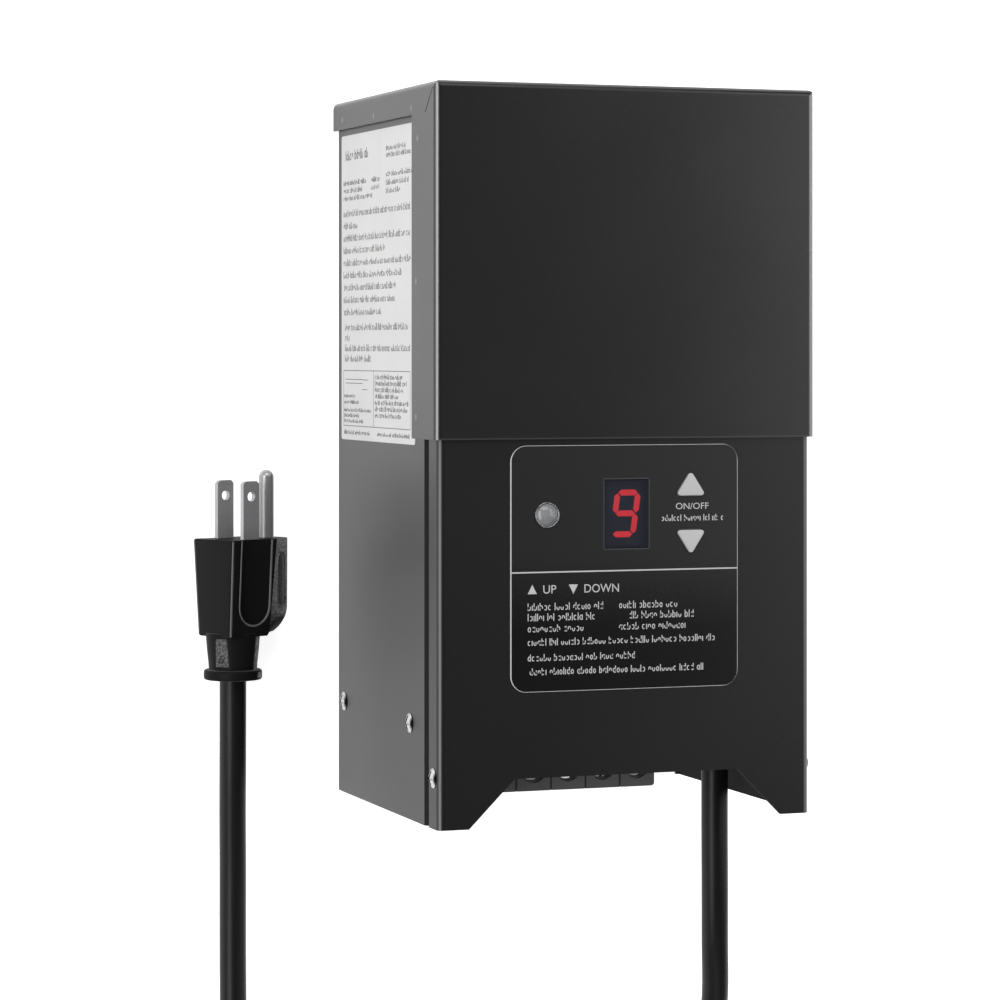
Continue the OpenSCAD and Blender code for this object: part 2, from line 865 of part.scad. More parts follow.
module terminal_block() {
    relief_d = clamp_screw_d + 2 * slide_gap;
    color(moulding) in_place() difference() {
        out(block_back_z, block_z)
            rounded(
                block_x - block_w / 2 - block_ear, block_y, block_x + block_w / 2, shelf_y, edge_r, [1, 1, 0, 0]
            );
        for (i = [0:cell_n - 1]) translate([cell_x(i), 0, 0]) {
            translate([-cavity_w / 2, block_y - overrun, cavity_z])
                cube([cavity_w, cavity_top_y - block_y + overrun, cavity_d]);
            translate([0, clamp_y, cavity_z - screw_tail])
                cylinder(h = screw_tail + overrun, d = relief_d);
            translate([0, clamp_y, block_z - block_face_t - overrun])
                cylinder(h = block_face_t + 2 * overrun, d = face_hole_d);
            translate([-tab_w / 2 - slide_gap, cavity_top_y - overrun, cavity_z])
                cube([tab_w + 2 * slide_gap, shelf_y - cavity_top_y + 2 * overrun, block_slot_d]);
        }
        for (i = [0:cell_n - 1])
            translate([cell_x(i) - cell_pitch / 2 - groove_w / 2, block_y - overrun, block_z - groove_h])
                cube([groove_w, block_h + 2 * overrun, groove_h + overrun]);
        for (side = [-1, 1])
            translate([block_x + side * cell_pitch, shelf_y, block_screw_z]) rotate([-90, 0, 0])
                translate([0, 0, -block_screw_len])
                    cylinder(h = block_screw_len + overrun, d = block_screw_d + 2 * bore_gap);
    }
}

module block_screws() {
    color(zinc) in_place() for (side = [-1, 1])
        translate([block_x + side * cell_pitch, shelf_top_y, block_screw_z]) rotate([-90, 0, 0])
            pan_screw(block_screw_d, block_screw_len, 2 * block_screw_d, block_screw_d * 0.6);
}

// Brass plate behind each clamp, with a tab that stands through the shelf
module conductor_plates() {
    low = clamp_y - clamp_w / 2;
    color(brass_tone) in_place() for (i = [0:cell_n - 1]) translate([cell_x(i), 0, 0]) {
        difference() {
            translate([-conductor_w / 2, low, cavity_z])
                cube([conductor_w, cavity_top_y - slide_gap / 2 - low, conductor_t]);
            translate([0, clamp_y, cavity_z - overrun])
                cylinder(h = conductor_t + 2 * overrun, d = clamp_screw_d + 2 * bore_gap);
        }
        translate([-tab_w / 2, cavity_top_y - conductor_t, cavity_z])
            cube([tab_w, shelf_top_y + tab_h - cavity_top_y + conductor_t, tab_t]);
    }
}

module tab_receptacles() {
    w = receptacle_size[0];
    h = receptacle_size[1];
    d = receptacle_size[2];
    color("#b23a35") in_place() for (i = [0:cell_n - 1])
        translate([cell_x(i), shelf_top_y + tab_h - h / 2 + h * 0.1, block_slot_z]) difference() {
            rise(0, h) square([w, d], center = true);
            rise(-overrun, h / 2 - h * 0.1 + bore_gap)
                square([tab_w + 2 * bore_gap, tab_t + 2 * bore_gap], center = true);
        }
}

// Terminal screw, shown screwed in: its head rests just off the clamp plate
module terminal_screw(i) {
    seat_z = clamp_z + clamp_t + bore_gap;
    slot_w = head_d * 0.16;
    slot_h = head_h * 0.4;
    color(zinc) in_place() translate([cell_x(i), clamp_y, seat_z]) {
        difference() {
            union() {
                cylinder(h = head_h * 0.7, d = head_d);
                translate([0, 0, head_h * 0.7]) cylinder(h = head_h * 0.3, d1 = head_d, d2 = head_d * 0.84);
            }
            rotate([0, 0, 20 + 35 * i]) translate([-head_d, -slot_w / 2, head_h - slot_h])
                cube([2 * head_d, slot_w, slot_h + overrun]);
        }
        translate([0, 0, -screw_tail]) cylinder(h = screw_tail, d = clamp_screw_d);
    }
}

module clamp_plate(i) {
    rib = clamp_t * 0.2;
    color(zinc) in_place() translate([cell_x(i), clamp_y, clamp_z]) difference() {
        out(0, clamp_t) rounded(-clamp_w / 2, -clamp_w / 2, clamp_w / 2, clamp_w / 2, clamp_t * 0.6);
        translate([0, 0, -overrun])
            cylinder(h = clamp_t + 2 * overrun, d = clamp_screw_d + 2 * bore_gap);
        for (side = [-1, 1])
            translate([-clamp_w / 2 - overrun, side * clamp_w * 0.34 - rib, -overrun])
                cube([clamp_w + 2 * overrun, 2 * rib, overrun + rib]);
    }
}

// Stacked E and I laminations with their four corner holes
module laminated_core() {
    color("#4a4c50") in_place() translate([0, core_y, 0]) difference() {
        out(core_back_z, core_front_z) difference() {
            square([core_w, core_h], center = true);
            for (side = [-1, 1])
                translate([side * (core_unit + core_slot_w / 2), 0])
                    square([core_slot_w, core_slot_h], center = true);
        }
        at_core_holes() translate([0, 0, core_back_z - overrun])
            cylinder(h = stack_t + 2 * overrun, d = core_hole_d);
    }
}

module at_core_holes() {
    for (x = [-1, 1], y = [-1, 1])
        translate([x * (core_w - core_unit) / 2, y * (core_h - core_unit) / 2, 0]) children();
}

// Former around the centre leg, with a wall between its two sections
module bobbin() {
    color("#d8d2c0") in_place() translate([0, core_y, core_mid_z]) difference() {
        union() {
            rise(-bobbin_h / 2, bobbin_h / 2) square([bobbin_w, bobbin_d], center = true);
            for (level = [-1, 0, 1])
                translate([0, level * (bobbin_h - bobbin_t) / 2, 0]) rise(-bobbin_t / 2, bobbin_t / 2)
                    rounded(-former_w / 2, -former_d / 2, former_w / 2, former_d / 2, bobbin_t);
        }
        rise(-bobbin_h / 2 - overrun, bobbin_h / 2 + overrun)
            square([2 * (core_unit + bobbin_gap), stack_t + 2 * bobbin_gap], center = true);
    }
}

// One winding with its wrap, in the upper (1) or lower (-1) section of the bobbin
module winding(level) {
    mid = level * (section_h + bobbin_t) / 2;
    w = former_w / 2 - winding_in;
    d = former_d / 2 - winding_in;
    in_place() translate([0, core_y + mid, core_mid_z]) difference() {
        rise(bore_gap - section_h / 2, section_h / 2 - bore_gap) rounded(-w, -d, w, d, winding_r);
        rise(-section_h, section_h)
            square([bobbin_w + 2 * bore_gap, bobbin_d + 2 * bore_gap], center = true);
    }
}

module primary_winding() {
    color("#c9a227") winding(1);
}

module secondary_winding() {
    color("#b06a2c") winding(-1);
}

module thermal_protector() {
    color("#a9abae") in_place() translate([0, core_y + (section_h + bobbin_t) / 2, 0])
        out(winding_front_z, winding_front_z + protector_size[2])
            rounded(
                -protector_size[0] / 2, -protector_size[1] / 2,
                protector_size[0] / 2, protector_size[1] / 2, edge_r
            );
}

module core_studs() {
    color(zinc) in_place() translate([0, core_y, sheet_t]) at_core_holes()
        cylinder(h = core_gap + stack_t + washer_t + nut_h + stud_proud, d = stud_d);
}

module core_spacers() {
    color(zinc) in_place() translate([0, core_y, sheet_t]) at_core_holes() difference() {
        cylinder(h = core_gap, d = spacer_d);
        translate([0, 0, -overrun]) cylinder(h = core_gap + 2 * overrun, d = stud_d + 2 * bore_gap);
    }
}

module core_nuts() {
    color(zinc) in_place() translate([0, core_y, core_front_z + washer_t]) at_core_holes() difference() {
        cylinder(h = nut_h, d = nut_af / cos(30), $fn = 6);
        translate([0, 0, -overrun]) cylinder(h = nut_h + 2 * overrun, d = stud_d + 2 * bore_gap);
    }
}

module core_washers() {
    color(zinc) in_place() translate([0, core_y, core_front_z]) at_core_holes() difference() {
        cylinder(h = washer_t, d = washer_d);
        translate([0, 0, -overrun]) cylinder(h = washer_t + 2 * overrun, d = stud_d + 2 * bore_gap);
    }
}

module ground_screw() {
    color("#3f8f4e") in_place() translate([ground_x, shelf_top_y + lug_t, ground_z]) rotate([-90, 0, 0])
        pan_screw(screw_d, ground_screw_len, screw_head_d, screw_head_h);
}

// Ring lug under the ground screw, its barrel towards the cord
module ground_lug() {
    color(brass_tone) in_place() translate([ground_x, 0, ground_z]) {
        rise(shelf_top_y, shelf_top_y + lug_t) difference() {
            union() {
                circle(d = lug_d);
                translate([0, -lug_d / 4]) square([lug_len - lug_d / 2, lug_d / 2]);
            }
            circle(d = screw_d + 2 * bore_gap);
        }
        translate([lug_len - lug_d, shelf_top_y + lug_barrel_d / 2, 0]) rotate([0, 90, 0])
            cylinder(h = lug_d / 2, d = lug_barrel_d);
    }
}

// Split bushing that grips the cord in the shelf
module strain_relief() {
    bore = cord_d + 2 * bore_gap;
    low = -gland_out_h;
    top = sheet_t + gland_in_h;
    catch_y = sheet_t + seat_gap;
    color("#161617") in_place() translate([gland_x, shelf_y, gland_z]) rotate([-90, 0, 0]) difference() {
        union() {
            translate([0, 0, low])
                cylinder(h = -low - gland_flange_t, d1 = gland_neck_d, d2 = gland_flange_d - gland_flange_t);
            translate([0, 0, -gland_flange_t]) cylinder(h = gland_flange_t, d = gland_flange_d);
            cylinder(h = top, d = gland_d);
            translate([0, 0, catch_y]) cylinder(h = gland_in_h / 2, d1 = gland_catch_d, d2 = gland_d);
        }
        translate([0, 0, low - overrun]) cylinder(h = top - low + 2 * overrun, d = bore);
    }
}

module cord_tail() {
    color(cord_black) in_place() translate([gland_x, gland_y, gland_z]) rotate([-90, 0, 0])
        cylinder(h = gland_out_h + sheet_t + tail_in_h, d = cord_d);
}

// Directions along a route, and a normal carried along it without twist
function unit_of(v) = v / norm(v);
function directions(p) =
    [for (i = [0:len(p) - 1]) unit_of(p[min(i + 1, len(p) - 1)] - p[max(i - 1, 0)])];
function flattened(n, t) = unit_of(n - (n * t) * t);
function carried(t, n) =
    len(n) == len(t) ? n : carried(t, concat(n, [flattened(n[len(n) - 1], t[len(n)])]));
function first_normal(t) = flattened(abs(t[2]) < 0.9 ? [0, 0, 1] : [0, 1, 0], t);

// Tube along a route, closed by a flat face at each end
module tube(route, d, sides) {
    t = directions(route);
    n = carried(t, [first_normal(t[0])]);
    last = len(route) - 1;
    points = [
        for (i = [0:last]) for (k = [0:sides - 1])
            let (a = 360 * (k + 0.5) / sides)
            route[i] + d / 2 * (cos(a) * n[i] + sin(a) * cross(t[i], n[i]))
    ];
    sides_of_tube = [
        for (i = [0:last - 1]) for (k = [0:sides - 1])
            let (a = i * sides + k, b = i * sides + (k + 1) % sides)
            each [[a, b, b + sides], [a, b + sides, a + sides]]
    ];
    start = [for (k = [sides - 1:-1:0]) k];
    finish = [for (k = [0:sides - 1]) last * sides + k];
    polyhedron(points, concat([start], [finish], sides_of_tube), convexity = 6);
}

// Route through hand-picked places, rounded between them, with straight ends
function blend(p0, p1, p2, p3, u) =
    0.5 * (2 * p1 + (p2 - p0) * u + (2 * p0 - 5 * p1 + 4 * p2 - p3) * u * u
    + (3 * p1 - p0 - 3 * p2 + p3) * u * u * u);
function softened(p, n) = concat(
    [p[0]],
    [for (i = [1:len(p) - 3]) for (j = [0:n - 1]) blend(p[i - 1], p[i], p[i + 1], p[i + 2], j / n)],
    [p[len(p) - 2], p[len(p) - 1]]
);

module lead(route) {
    tube(softened(route, lead_step), lead_d, lead_sides);
}

// Live, neutral and earth, fanning out of the cord's cut end
module mains_leads() {
    start = [gland_x, tail_top_y, gland_z];
    live_end = [core_w / 4, core_y + section_h / 2, winding_front_z + lead_d / 2 + seat_gap];
    neutral_end = [header_at[0], board_y + header_at[1], board_back_z - header_size[2] - seat_gap];
    lug_end = [ground_x + lug_len - lug_d / 2 + seat_gap, shelf_top_y + lug_barrel_d / 2, ground_z];
    in_place() {
        color("#1c1c1d") lead([
            start - [0, 0, lead_spread * 0.6], start + [0, lead_spread, -lead_spread * 0.6],
            [gland_x, hood_y * 0.7, gland_z], [gland_x, hood_y, core_front_z + cord_d],
            live_end + [cord_d, -section_h, cord_d / 2], live_end + [lead_d, 0, 0], live_end
        ]);
        color("#e8e8e6") lead([
            start + [-lead_spread * 0.6, 0, lead_spread * 0.5],
            start + [-lead_spread * 0.6, lead_spread, lead_spread * 0.5],
            neutral_end + [cord_d, cord_d, -cord_d], neutral_end - [0, 0, lead_d], neutral_end
        ]);
        color("#2f8a45") lead([
            start + [lead_spread * 0.6, 0, lead_spread * 0.5],
            start + [lead_spread * 0.6, lead_spread, lead_spread * 0.5],
            lug_end + [cord_d, cord_d * 1.6, -cord_d / 2], lug_end + [cord_d / 2, 0, 0], lug_end
        ]);
    }
}

// Four leads from the secondary down to the tabs over the terminal block
module secondary_leads() {
    tab_top_y = shelf_top_y + tab_h + receptacle_size[1] * 0.6 + seat_gap;
    color("#b8322c") in_place() for (i = [0:cell_n - 1]) {
        top_x = (i - (cell_n - 1) / 2) * 2 * lead_d;
        lead([
            [top_x, lead_low_y - seat_gap, lead_z], [top_x, lead_low_y - cord_d, lead_z],
            [top_x, hood_y, core_front_z], [cell_x(i), board_y + relay_at[1], gland_z],
            [cell_x(i), tab_top_y + cord_d, block_slot_z], [cell_x(i), tab_top_y, block_slot_z]
        ]);
    }
}

// A pair from the header to the bobbin
module control_leads() {
    start = [header_at[0], board_y + header_at[1], board_back_z - header_size[2] - seat_gap];
    color("#d9b13a") in_place() for (side = [-1, 1]) {
        x = start[0] + side * lead_d - 2 * lead_d;
        lead([
            [x, start[1], start[2]], [x, start[1], start[2] - lead_d],
            [x, start[1] + 2 * cord_d, start[2] - cord_d],
            [x, hood_y, core_front_z + cord_d / 2],
            [x, lead_low_y - cord_d, lead_z], [x, lead_low_y - seat_gap, lead_z]
        ]);
    }
}

module cord_run_out() {
    color(cord_black) tube(run_out_route, cord_d, cord_sides);
}

module cord_run_plug() {
    color(cord_black) tube(run_plug_route, cord_d, cord_sides);
}

// The coil turns clockwise seen from above: it winds in on top, drops a layer over
// half a turn at its smallest radius and winds out again on the floor.
function eased(s) = s <= 0 ? 0 : s >= 1 ? 1 : s * s * (3 - 2 * s);
function coil_radius(a) =
    a <= coil_in ? coil_r - coil_step * a / 360
    : a <= coil_in + 180 ? coil_r - coil_step * coil_turns_in
    : coil_r - coil_step * (coil_turn - a) / 360;
function coil_place(a) = [
    coil_x + coil_radius(a) * cos(a),
    coil_y - coil_radius(a) * sin(a),
    coil_top_z - coil_layer * eased((a - coil_in) / 180)
];
function least_gap(p, apart) = min([
    for (i = [0:len(p) - 1]) for (j = [i + apart:1:len(p) - 1]) norm(p[i] - p[j])
]) - cord_d;

module cord_coil() {
    step = 360 / coil_rings;
    loops = [for (a = [0:step:coil_turn]) coil_place(a)];
    start = coil_place(0) + [0, coil_lead, 0];
    finish = coil_place(coil_turn) + [0, coil_lead, 0];
    fine = [for (a = [0:step / 3:coil_turn]) coil_place(a)];
    echo(coil_gap = least_gap(fine, coil_rings));
    color(cord_black) tube(concat([start], loops, [finish]), cord_d, coil_sides);
}

// Places a plug piece drawn with its face at z = 0 and its pins along +Z
module in_plug() {
    translate(plug_at) rotate([-90, plug_turn, 0]) children();
}

// Cross section of the plug: flat at the back, narrowing to the ground pin's side
function plug_corners(half, flat_v, side_v, nose_v, nose_half) = [
    [flat_v, -half], [side_v, -half], [nose_v, -nose_half],
    [nose_v, nose_half], [side_v, half], [flat_v, half]
];

// A thin slice of the plug at height z, with rounded corners inside the outline
module plug_slice(corners, z) {
    middle = (corners[0] + corners[3]) / 2;
    for (c = corners)
        translate([c[0], c[1], z] - concat(unit_of(c - middle) * plug_edge_r, 0))
            cylinder(h = plug_slice_t, r = plug_edge_r, $fn = 24);
}

module plug_body() {
    nose_centre = [plug_nose_v - plug_nose_r, -plug_body_len + plug_nose_r];
    color(cord_black) in_plug() difference() {
        union() {
            difference() {
                hull() {
                    plug_slice(
                        plug_corners(plug_face_half, plug_flat_v, plug_side_v, plug_nose_v, plug_nose_half),
                        -plug_slice_t
                    );
                    plug_slice(
                        plug_corners(
                            plug_foot_half, plug_foot_flat_v, plug_foot_side_v, plug_nose_v, plug_nose_half
                        ),
                        -plug_body_len
                    );
                }
                plug_nose_waste(nose_centre);
                for (side = [-1, 1]) {
                    plug_scoop(side);
                    plug_pad(side);
                }
            }
            translate([0, 0, -plug_body_len - plug_neck_len])
                cylinder(h = plug_neck_len + plug_neck_in, d1 = plug_neck_low_d, d2 = plug_neck_top_d);
            translate([0, 0, -plug_body_len - plug_neck_len - plug_collar_len]) rotate_extrude()
                rounded(0, 0, plug_collar_d / 2, plug_collar_len, plug_collar_len / 4, [0, 1, 1, 0]);
        }
        for (side = [-1, 1])
            translate([blade_v - blade_w / 2, side * blade_gap / 2 - blade_t / 2, -blade_root])
                cube([blade_w, blade_t, blade_root + overrun]);
        translate([pin_v, 0, -blade_root]) cylinder(h = blade_root + overrun, d = ground_pin_root_d);
    }
}

// Rounds the end of the ground pin's side towards the cord
module plug_nose_waste(centre) {
    translate([0, plug_face_half * 1.5, 0]) rotate([90, 0, 0]) linear_extrude(plug_face_half * 3)
        difference() {
            translate([centre[0], -plug_body_len - overrun])
                square([plug_nose_r + overrun, plug_nose_r + overrun]);
            translate(centre) circle(plug_nose_r);
        }
}

// Shallow finger scoop in a broad side, open at the face and round at its end
module plug_scoop(side) {
    v = (plug_flat_v + plug_side_v) / 2 + plug_edge_r;
    w = plug_scoop_w / 2;
    slant = atan((plug_face_half - plug_foot_half) / plug_body_len);
    translate([v, side * plug_face_half, 0]) rotate([side * slant, 0, 0])
        translate([0, side > 0 ? overrun : plug_scoop_in, 0]) rotate([90, 0, 0])
            linear_extrude(plug_scoop_in + overrun) {
                translate([-w, w - plug_scoop_len]) square([2 * w, plug_scoop_len - w + overrun]);
                translate([0, w - plug_scoop_len]) circle(w);
            }
}

// Oval recess for the grip pad on each slanted side
module plug_pad(side) {
    mid = [(plug_side_v + plug_nose_v) / 2, side * (plug_face_half + plug_nose_half) / 2];
    lean = atan2(plug_face_half - plug_nose_half, plug_nose_v - plug_side_v);
    r = plug_pad_w / 2;
    straight = plug_pad_len - plug_pad_w;
    translate([mid[0], mid[1], -plug_body_len * 0.42]) rotate([0, 0, -side * lean])
        translate([0, side > 0 ? overrun : plug_pad_in, 0]) rotate([90, 0, 0])
            linear_extrude(plug_pad_in + overrun) {
                square([plug_pad_w, straight], center = true);
                for (end = [-1, 1]) translate([0, end * straight / 2]) circle(r);
            }
}

module plug_blades() {
    w = blade_w / 2;
    color("#b9bbbd") in_plug() for (side = [-1, 1])
        translate([blade_v, side * blade_gap / 2 + blade_t / 2, 0]) rotate([90, 0, 0])
            linear_extrude(blade_t) difference() {
                polygon([
                    [-w, -blade_root], [w, -blade_root], [w, blade_len - blade_bevel],
                    [w - blade_bevel, blade_len], [blade_bevel - w, blade_len], [-w, blade_len - blade_bevel]
                ]);
                translate([0, blade_len - blade_hole_in]) circle(d = blade_hole_d);
            }
}

module plug_ground_pin() {
    r = ground_pin_d / 2;
    color("#b9bbbd") in_plug() translate([pin_v, 0, 0]) {
        translate([0, 0, -blade_root]) cylinder(h = blade_root, d = ground_pin_root_d);
        cylinder(h = ground_pin_len - r, r = r);
        translate([0, 0, ground_pin_len - r]) sphere(r);
    }
}

housing_body();
hood();
front_panel();
shelf();
shelf_screws();
front_panel_screws();
rating_label();
control_overlay();
display_window();
display_module();
digit_segments();
photocell_lens();
photocell_bezel();
photocell_sensor();
up_button();
down_button();
up_plunger();
down_plunger();
switch_bodies();
controller_board();
board_standoffs();
board_screws();
relay();
capacitors();
board_header();
controller_chip();
terminal_block();
block_screws();
conductor_plates();
tab_receptacles();
terminal_screw(0);  // terminal_screw_1
terminal_screw(1);  // terminal_screw_2
terminal_screw(2);  // terminal_screw_3
terminal_screw(3);  // terminal_screw_4
clamp_plate(0);  // clamp_plate_1
clamp_plate(1);  // clamp_plate_2
clamp_plate(2);  // clamp_plate_3
clamp_plate(3);  // clamp_plate_4
laminated_core();
bobbin();
primary_winding();
secondary_winding();
thermal_protector();
core_studs();
core_spacers();
core_nuts();
core_washers();
ground_screw();
ground_lug();
strain_relief();
cord_tail();
mains_leads();
secondary_leads();
control_leads();
cord_run_out();
cord_coil();
cord_run_plug();
plug_body();
plug_blades();
plug_ground_pin();
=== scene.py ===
# Outdoor low voltage power unit, lying on its back with its cord laid out beside it.
# Metres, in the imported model's frame: +Y is the hood's end, +Z the front. Forms are drawn in mm and scaled.
import random
from math import atan2, cos, pi, radians, sin, sqrt, tan

import bmesh
import bpy
from mathutils import Matrix, Vector


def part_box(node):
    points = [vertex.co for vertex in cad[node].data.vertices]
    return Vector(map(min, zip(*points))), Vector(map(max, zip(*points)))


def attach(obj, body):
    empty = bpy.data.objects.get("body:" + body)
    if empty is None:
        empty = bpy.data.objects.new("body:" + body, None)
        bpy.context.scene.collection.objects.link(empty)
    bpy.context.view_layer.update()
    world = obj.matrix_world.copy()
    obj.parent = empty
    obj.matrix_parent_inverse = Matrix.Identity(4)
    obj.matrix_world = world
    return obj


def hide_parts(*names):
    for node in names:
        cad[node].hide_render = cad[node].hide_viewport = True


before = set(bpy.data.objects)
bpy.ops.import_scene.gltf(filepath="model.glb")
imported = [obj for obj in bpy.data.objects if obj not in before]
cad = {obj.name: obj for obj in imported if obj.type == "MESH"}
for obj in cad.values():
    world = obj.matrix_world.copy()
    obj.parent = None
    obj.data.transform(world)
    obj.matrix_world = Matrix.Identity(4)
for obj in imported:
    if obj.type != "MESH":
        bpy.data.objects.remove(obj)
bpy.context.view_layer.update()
mm = 0.001
print("frame loaded:", len(cad), "nodes")


# Camera, as the photograph was taken: level with the unit's middle, a little to its left
view = {"at": (-0.3753, 0.0304, 1.0407), "turn": -19.63, "lens": 121.83, "sensor": 36.0, "shiftY": -0.1484}

lensData = bpy.data.cameras.new("camera")
lensData.lens, lensData.sensor_width, lensData.shift_y = view["lens"], view["sensor"], view["shiftY"]
lensData.clip_start, lensData.clip_end = 0.05, 20
camera = bpy.data.objects.new("camera", lensData)
camera.location = view["at"]
camera.rotation_euler = (0, radians(view["turn"]), 0)
bpy.context.scene.collection.objects.link(camera)
bpy.context.scene.camera = camera


# Shader arithmetic: a wrapped socket that adds, subtracts and multiplies
class Signal:
    def __init__(self, finish, socket):
        self.finish, self.socket = finish, socket

    def math(self, kind, first, second):
        return self.finish.node("Math", {"operation": kind}, {0: first, 1: second})

    def __add__(self, other):
        return self.math("ADD", self, other)

    __radd__ = __add__

    def __sub__(self, other):
        return self.math("SUBTRACT", self, other)

    def __rsub__(self, other):
        return self.math("SUBTRACT", other, self)

    def __mul__(self, other):
        return self.math("MULTIPLY", self, other)

    __rmul__ = __mul__

    def __abs__(self):
        return self.math("ABSOLUTE", self, 0)


class Finish:
    def __init__(self, name, **fixed):
        self.material = bpy.data.materials.new(name)
        self.material.use_nodes = True
        self.tree = self.material.node_tree
        self.shader = self.tree.nodes["Principled BSDF"]
        self.out = self.tree.nodes["Material Output"]
        for socket, value in fixed.items():
            self.feed(self.shader.inputs[spaced(socket)], value)

    def feed(self, socket, value):
        if isinstance(value, Signal):
            self.tree.links.new(value.socket, socket)
        elif socket.type == "RGBA":
            socket.default_value = (*value[:3], 1)
        else:
            socket.default_value = value

    def node(self, kind, settings=None, inputs=None, out=0):
        made = self.tree.nodes.new("ShaderNode" + kind)
        for key, value in (settings or {}).items():
            setattr(made, key, value)
        for key, value in (inputs or {}).items():
            self.feed(made.inputs[key], value)
        return Signal(self, made.outputs[out])

    def place(self):
        return self.node("TexCoord", out=3)

    def facing(self):  # the way the surface faces
        return self.node("TexCoord", out=1)

    def axes(self, vector=None):
        split = self.node("SeparateXYZ", inputs={0: vector or self.place()})
        return [Signal(self, split.socket.node.outputs[i]) for i in range(3)]

    def noise(self, scale, detail=3, roughness=0.55, at=None):
        return self.node("TexNoise", inputs={
            "Vector": at or self.place(), "Scale": scale, "Detail": detail, "Roughness": roughness,
        })

    def band(self, value, low, high):  # 0 below low, 1 above high
        return self.node("MapRange", inputs={0: value, 1: low, 2: high, 3: 0, 4: 1})

    def wave(self, angle):
        return self.node("Math", {"operation": "SINE"}, {0: angle})

    def mix(self, factor, first, second):
        return self.node("Mix", {"data_type": "RGBA"}, {0: factor, 6: first, 7: second}, out=2)

    def bump(self, height, strength, distance):
        return self.node("Bump", inputs={"Height": height, "Strength": strength, "Distance": distance})

    def set(self, **moving):
        for socket, value in moving.items():
            self.feed(self.shader.inputs[spaced(socket)], value)
        return self


def spaced(word):  # baseColor is the socket Base Color, ior is IOR
    names = {"ior": "IOR", "specularIORLevel": "Specular IOR Level"}
    return names.get(word) or word[0].upper() + "".join(" " + c if c.isupper() else c for c in word[1:])


def dress(piece, finish):
    piece.data.materials.clear()
    piece.data.materials.append(finish.material)


# Satin powder coat: slow tone change, a fine orange peel, a few dust specks, bends painted lighter as a
# painted highlight
paint = {
    "tone": (0.0080, 0.0081, 0.0086), "speck": (0.04, 0.04, 0.04), "peel": 900, "peelDepth": 0.00002,
    # highlightGrey is the colour of the bends' painted highlight
    "highlightGrey": (0.42, 0.42, 0.43), "weld": (0.10, 0.10, 0.102), "weldDepth": 0.0002,
    # edgeSheen is the colour of a painted highlight along the hood's lower edge
    "edgeSheen": (0.035, 0.035, 0.036), "inner": (0.010, 0.010, 0.010),
}
# Weld marks on the hood's sides, as z and y in mm: real dimples, coloured lighter as a painted highlight
weldPlaces = [(79.7, 103.2), (42.4, 103.2), (9.6, 104.1), (85.8, 93.8), (84.4, 51.3), (84.4, 11)]


def bendHighlightMask(coat, slow):  # painted highlight: full on the upright front bends, faint on the top one, and on the far right bend
    turnX, turnY, turnZ = coat.axes(coat.facing())
    upright = coat.band(abs(turnX) * turnZ, 0.45, 0.495)
    top = coat.band(turnY * turnZ, 0.45, 0.495)
    farSide = coat.band(turnX, 0.08, 0.3) * coat.band(turnX, 0.8, 0.6) * coat.band(turnZ, 0.3, 0.5)
    return (upright + top * 0.25 + farSide * 0.8) * (0.9 + slow * 0.2)


def weldMarks(coat):
    x, y, z = coat.axes()
    flat = coat.node("CombineXYZ", inputs={0: 0.0, 1: y, 2: z})
    marks = 0
    for along, up in weldPlaces:
        centre = (0, up * mm, along * mm)
        away = coat.node("VectorMath", {"operation": "DISTANCE"}, {0: flat, 1: centre}, out=1)
        marks = marks + coat.band(away, 0.00125, 0.0006)
    return marks * coat.band(abs(x), 0.0600, 0.0605)


def powderCoat(name, gloss, shine=0.5, rub=0.0, welds=False, seam=False):
    coat = Finish(name, specularIORLevel=shine)
    slow = coat.noise(14, 2)
    peel = coat.noise(paint["peel"], 2, 0.5)
    specks = coat.band(coat.noise(2600, 1, 0.4), 0.74, 0.8)
    x, y, z = coat.axes()
    turnX, turnY, turnZ = coat.axes(coat.facing())
    tone = coat.mix(slow, [c * 0.86 for c in paint["tone"]], [c * 1.16 for c in paint["tone"]])
    if welds:
        marks = weldMarks(coat)
        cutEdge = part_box("hood")[0][1]
        # painted highlight: a light line just above the hood's cut lower edge, on its front
        edgeSheen = coat.band(y, cutEdge + 0.0006, cutEdge + 0.0002) * coat.band(turnZ, 0.7, 0.9)
        # weld marks: real dimples in the bump, with a painted highlight in their lighter colour
        tone = coat.mix(edgeSheen, coat.mix(marks, tone, paint["weld"]), paint["edgeSheen"])
        normal = coat.bump(peel * 0.05 - marks, 0.35, paint["weldDepth"])
    else:
        normal = coat.bump(peel, 0.18, paint["peelDepth"])
    # painted highlight: the bends are given a lighter, partly metallic colour
    paintedHighlight = bendHighlightMask(coat, slow) * rub
    coat.set(
        baseColor=coat.mix(paintedHighlight, coat.mix(specks, tone, paint["speck"]), paint["highlightGrey"]),
        roughness=gloss + coat.band(abs(turnX), 0.8, 0.98) * 0.10 + slow * 0.06 - 0.03,
        metallic=paintedHighlight * 0.6, normal=normal,
    )
    paintedShade = coat.band(x * turnX, -0.005, -0.02)  # painted shade: the walls' inner faces get a dark, dull coat
    if seam:  # and painted shadow on the set-in edge behind the panel's flanges
        setInShadowMask = coat.band(z, 0.08870, 0.08885) * coat.band(abs(x), 0.0596, 0.0594)
        paintedShade = paintedShade + setInShadowMask * (1 - paintedShade)
    shadeCoat = coat.node("BsdfPrincipled", inputs={
        "Base Color": paint["inner"], "Roughness": 0.7, "Specular IOR Level": 0.15,
    })
    layered = coat.node("MixShader", inputs={0: paintedShade, 1: Signal(coat, coat.shader.outputs[0]), 2: shadeCoat})
    coat.tree.links.new(layered.socket, coat.out.inputs["Surface"])
    return coat


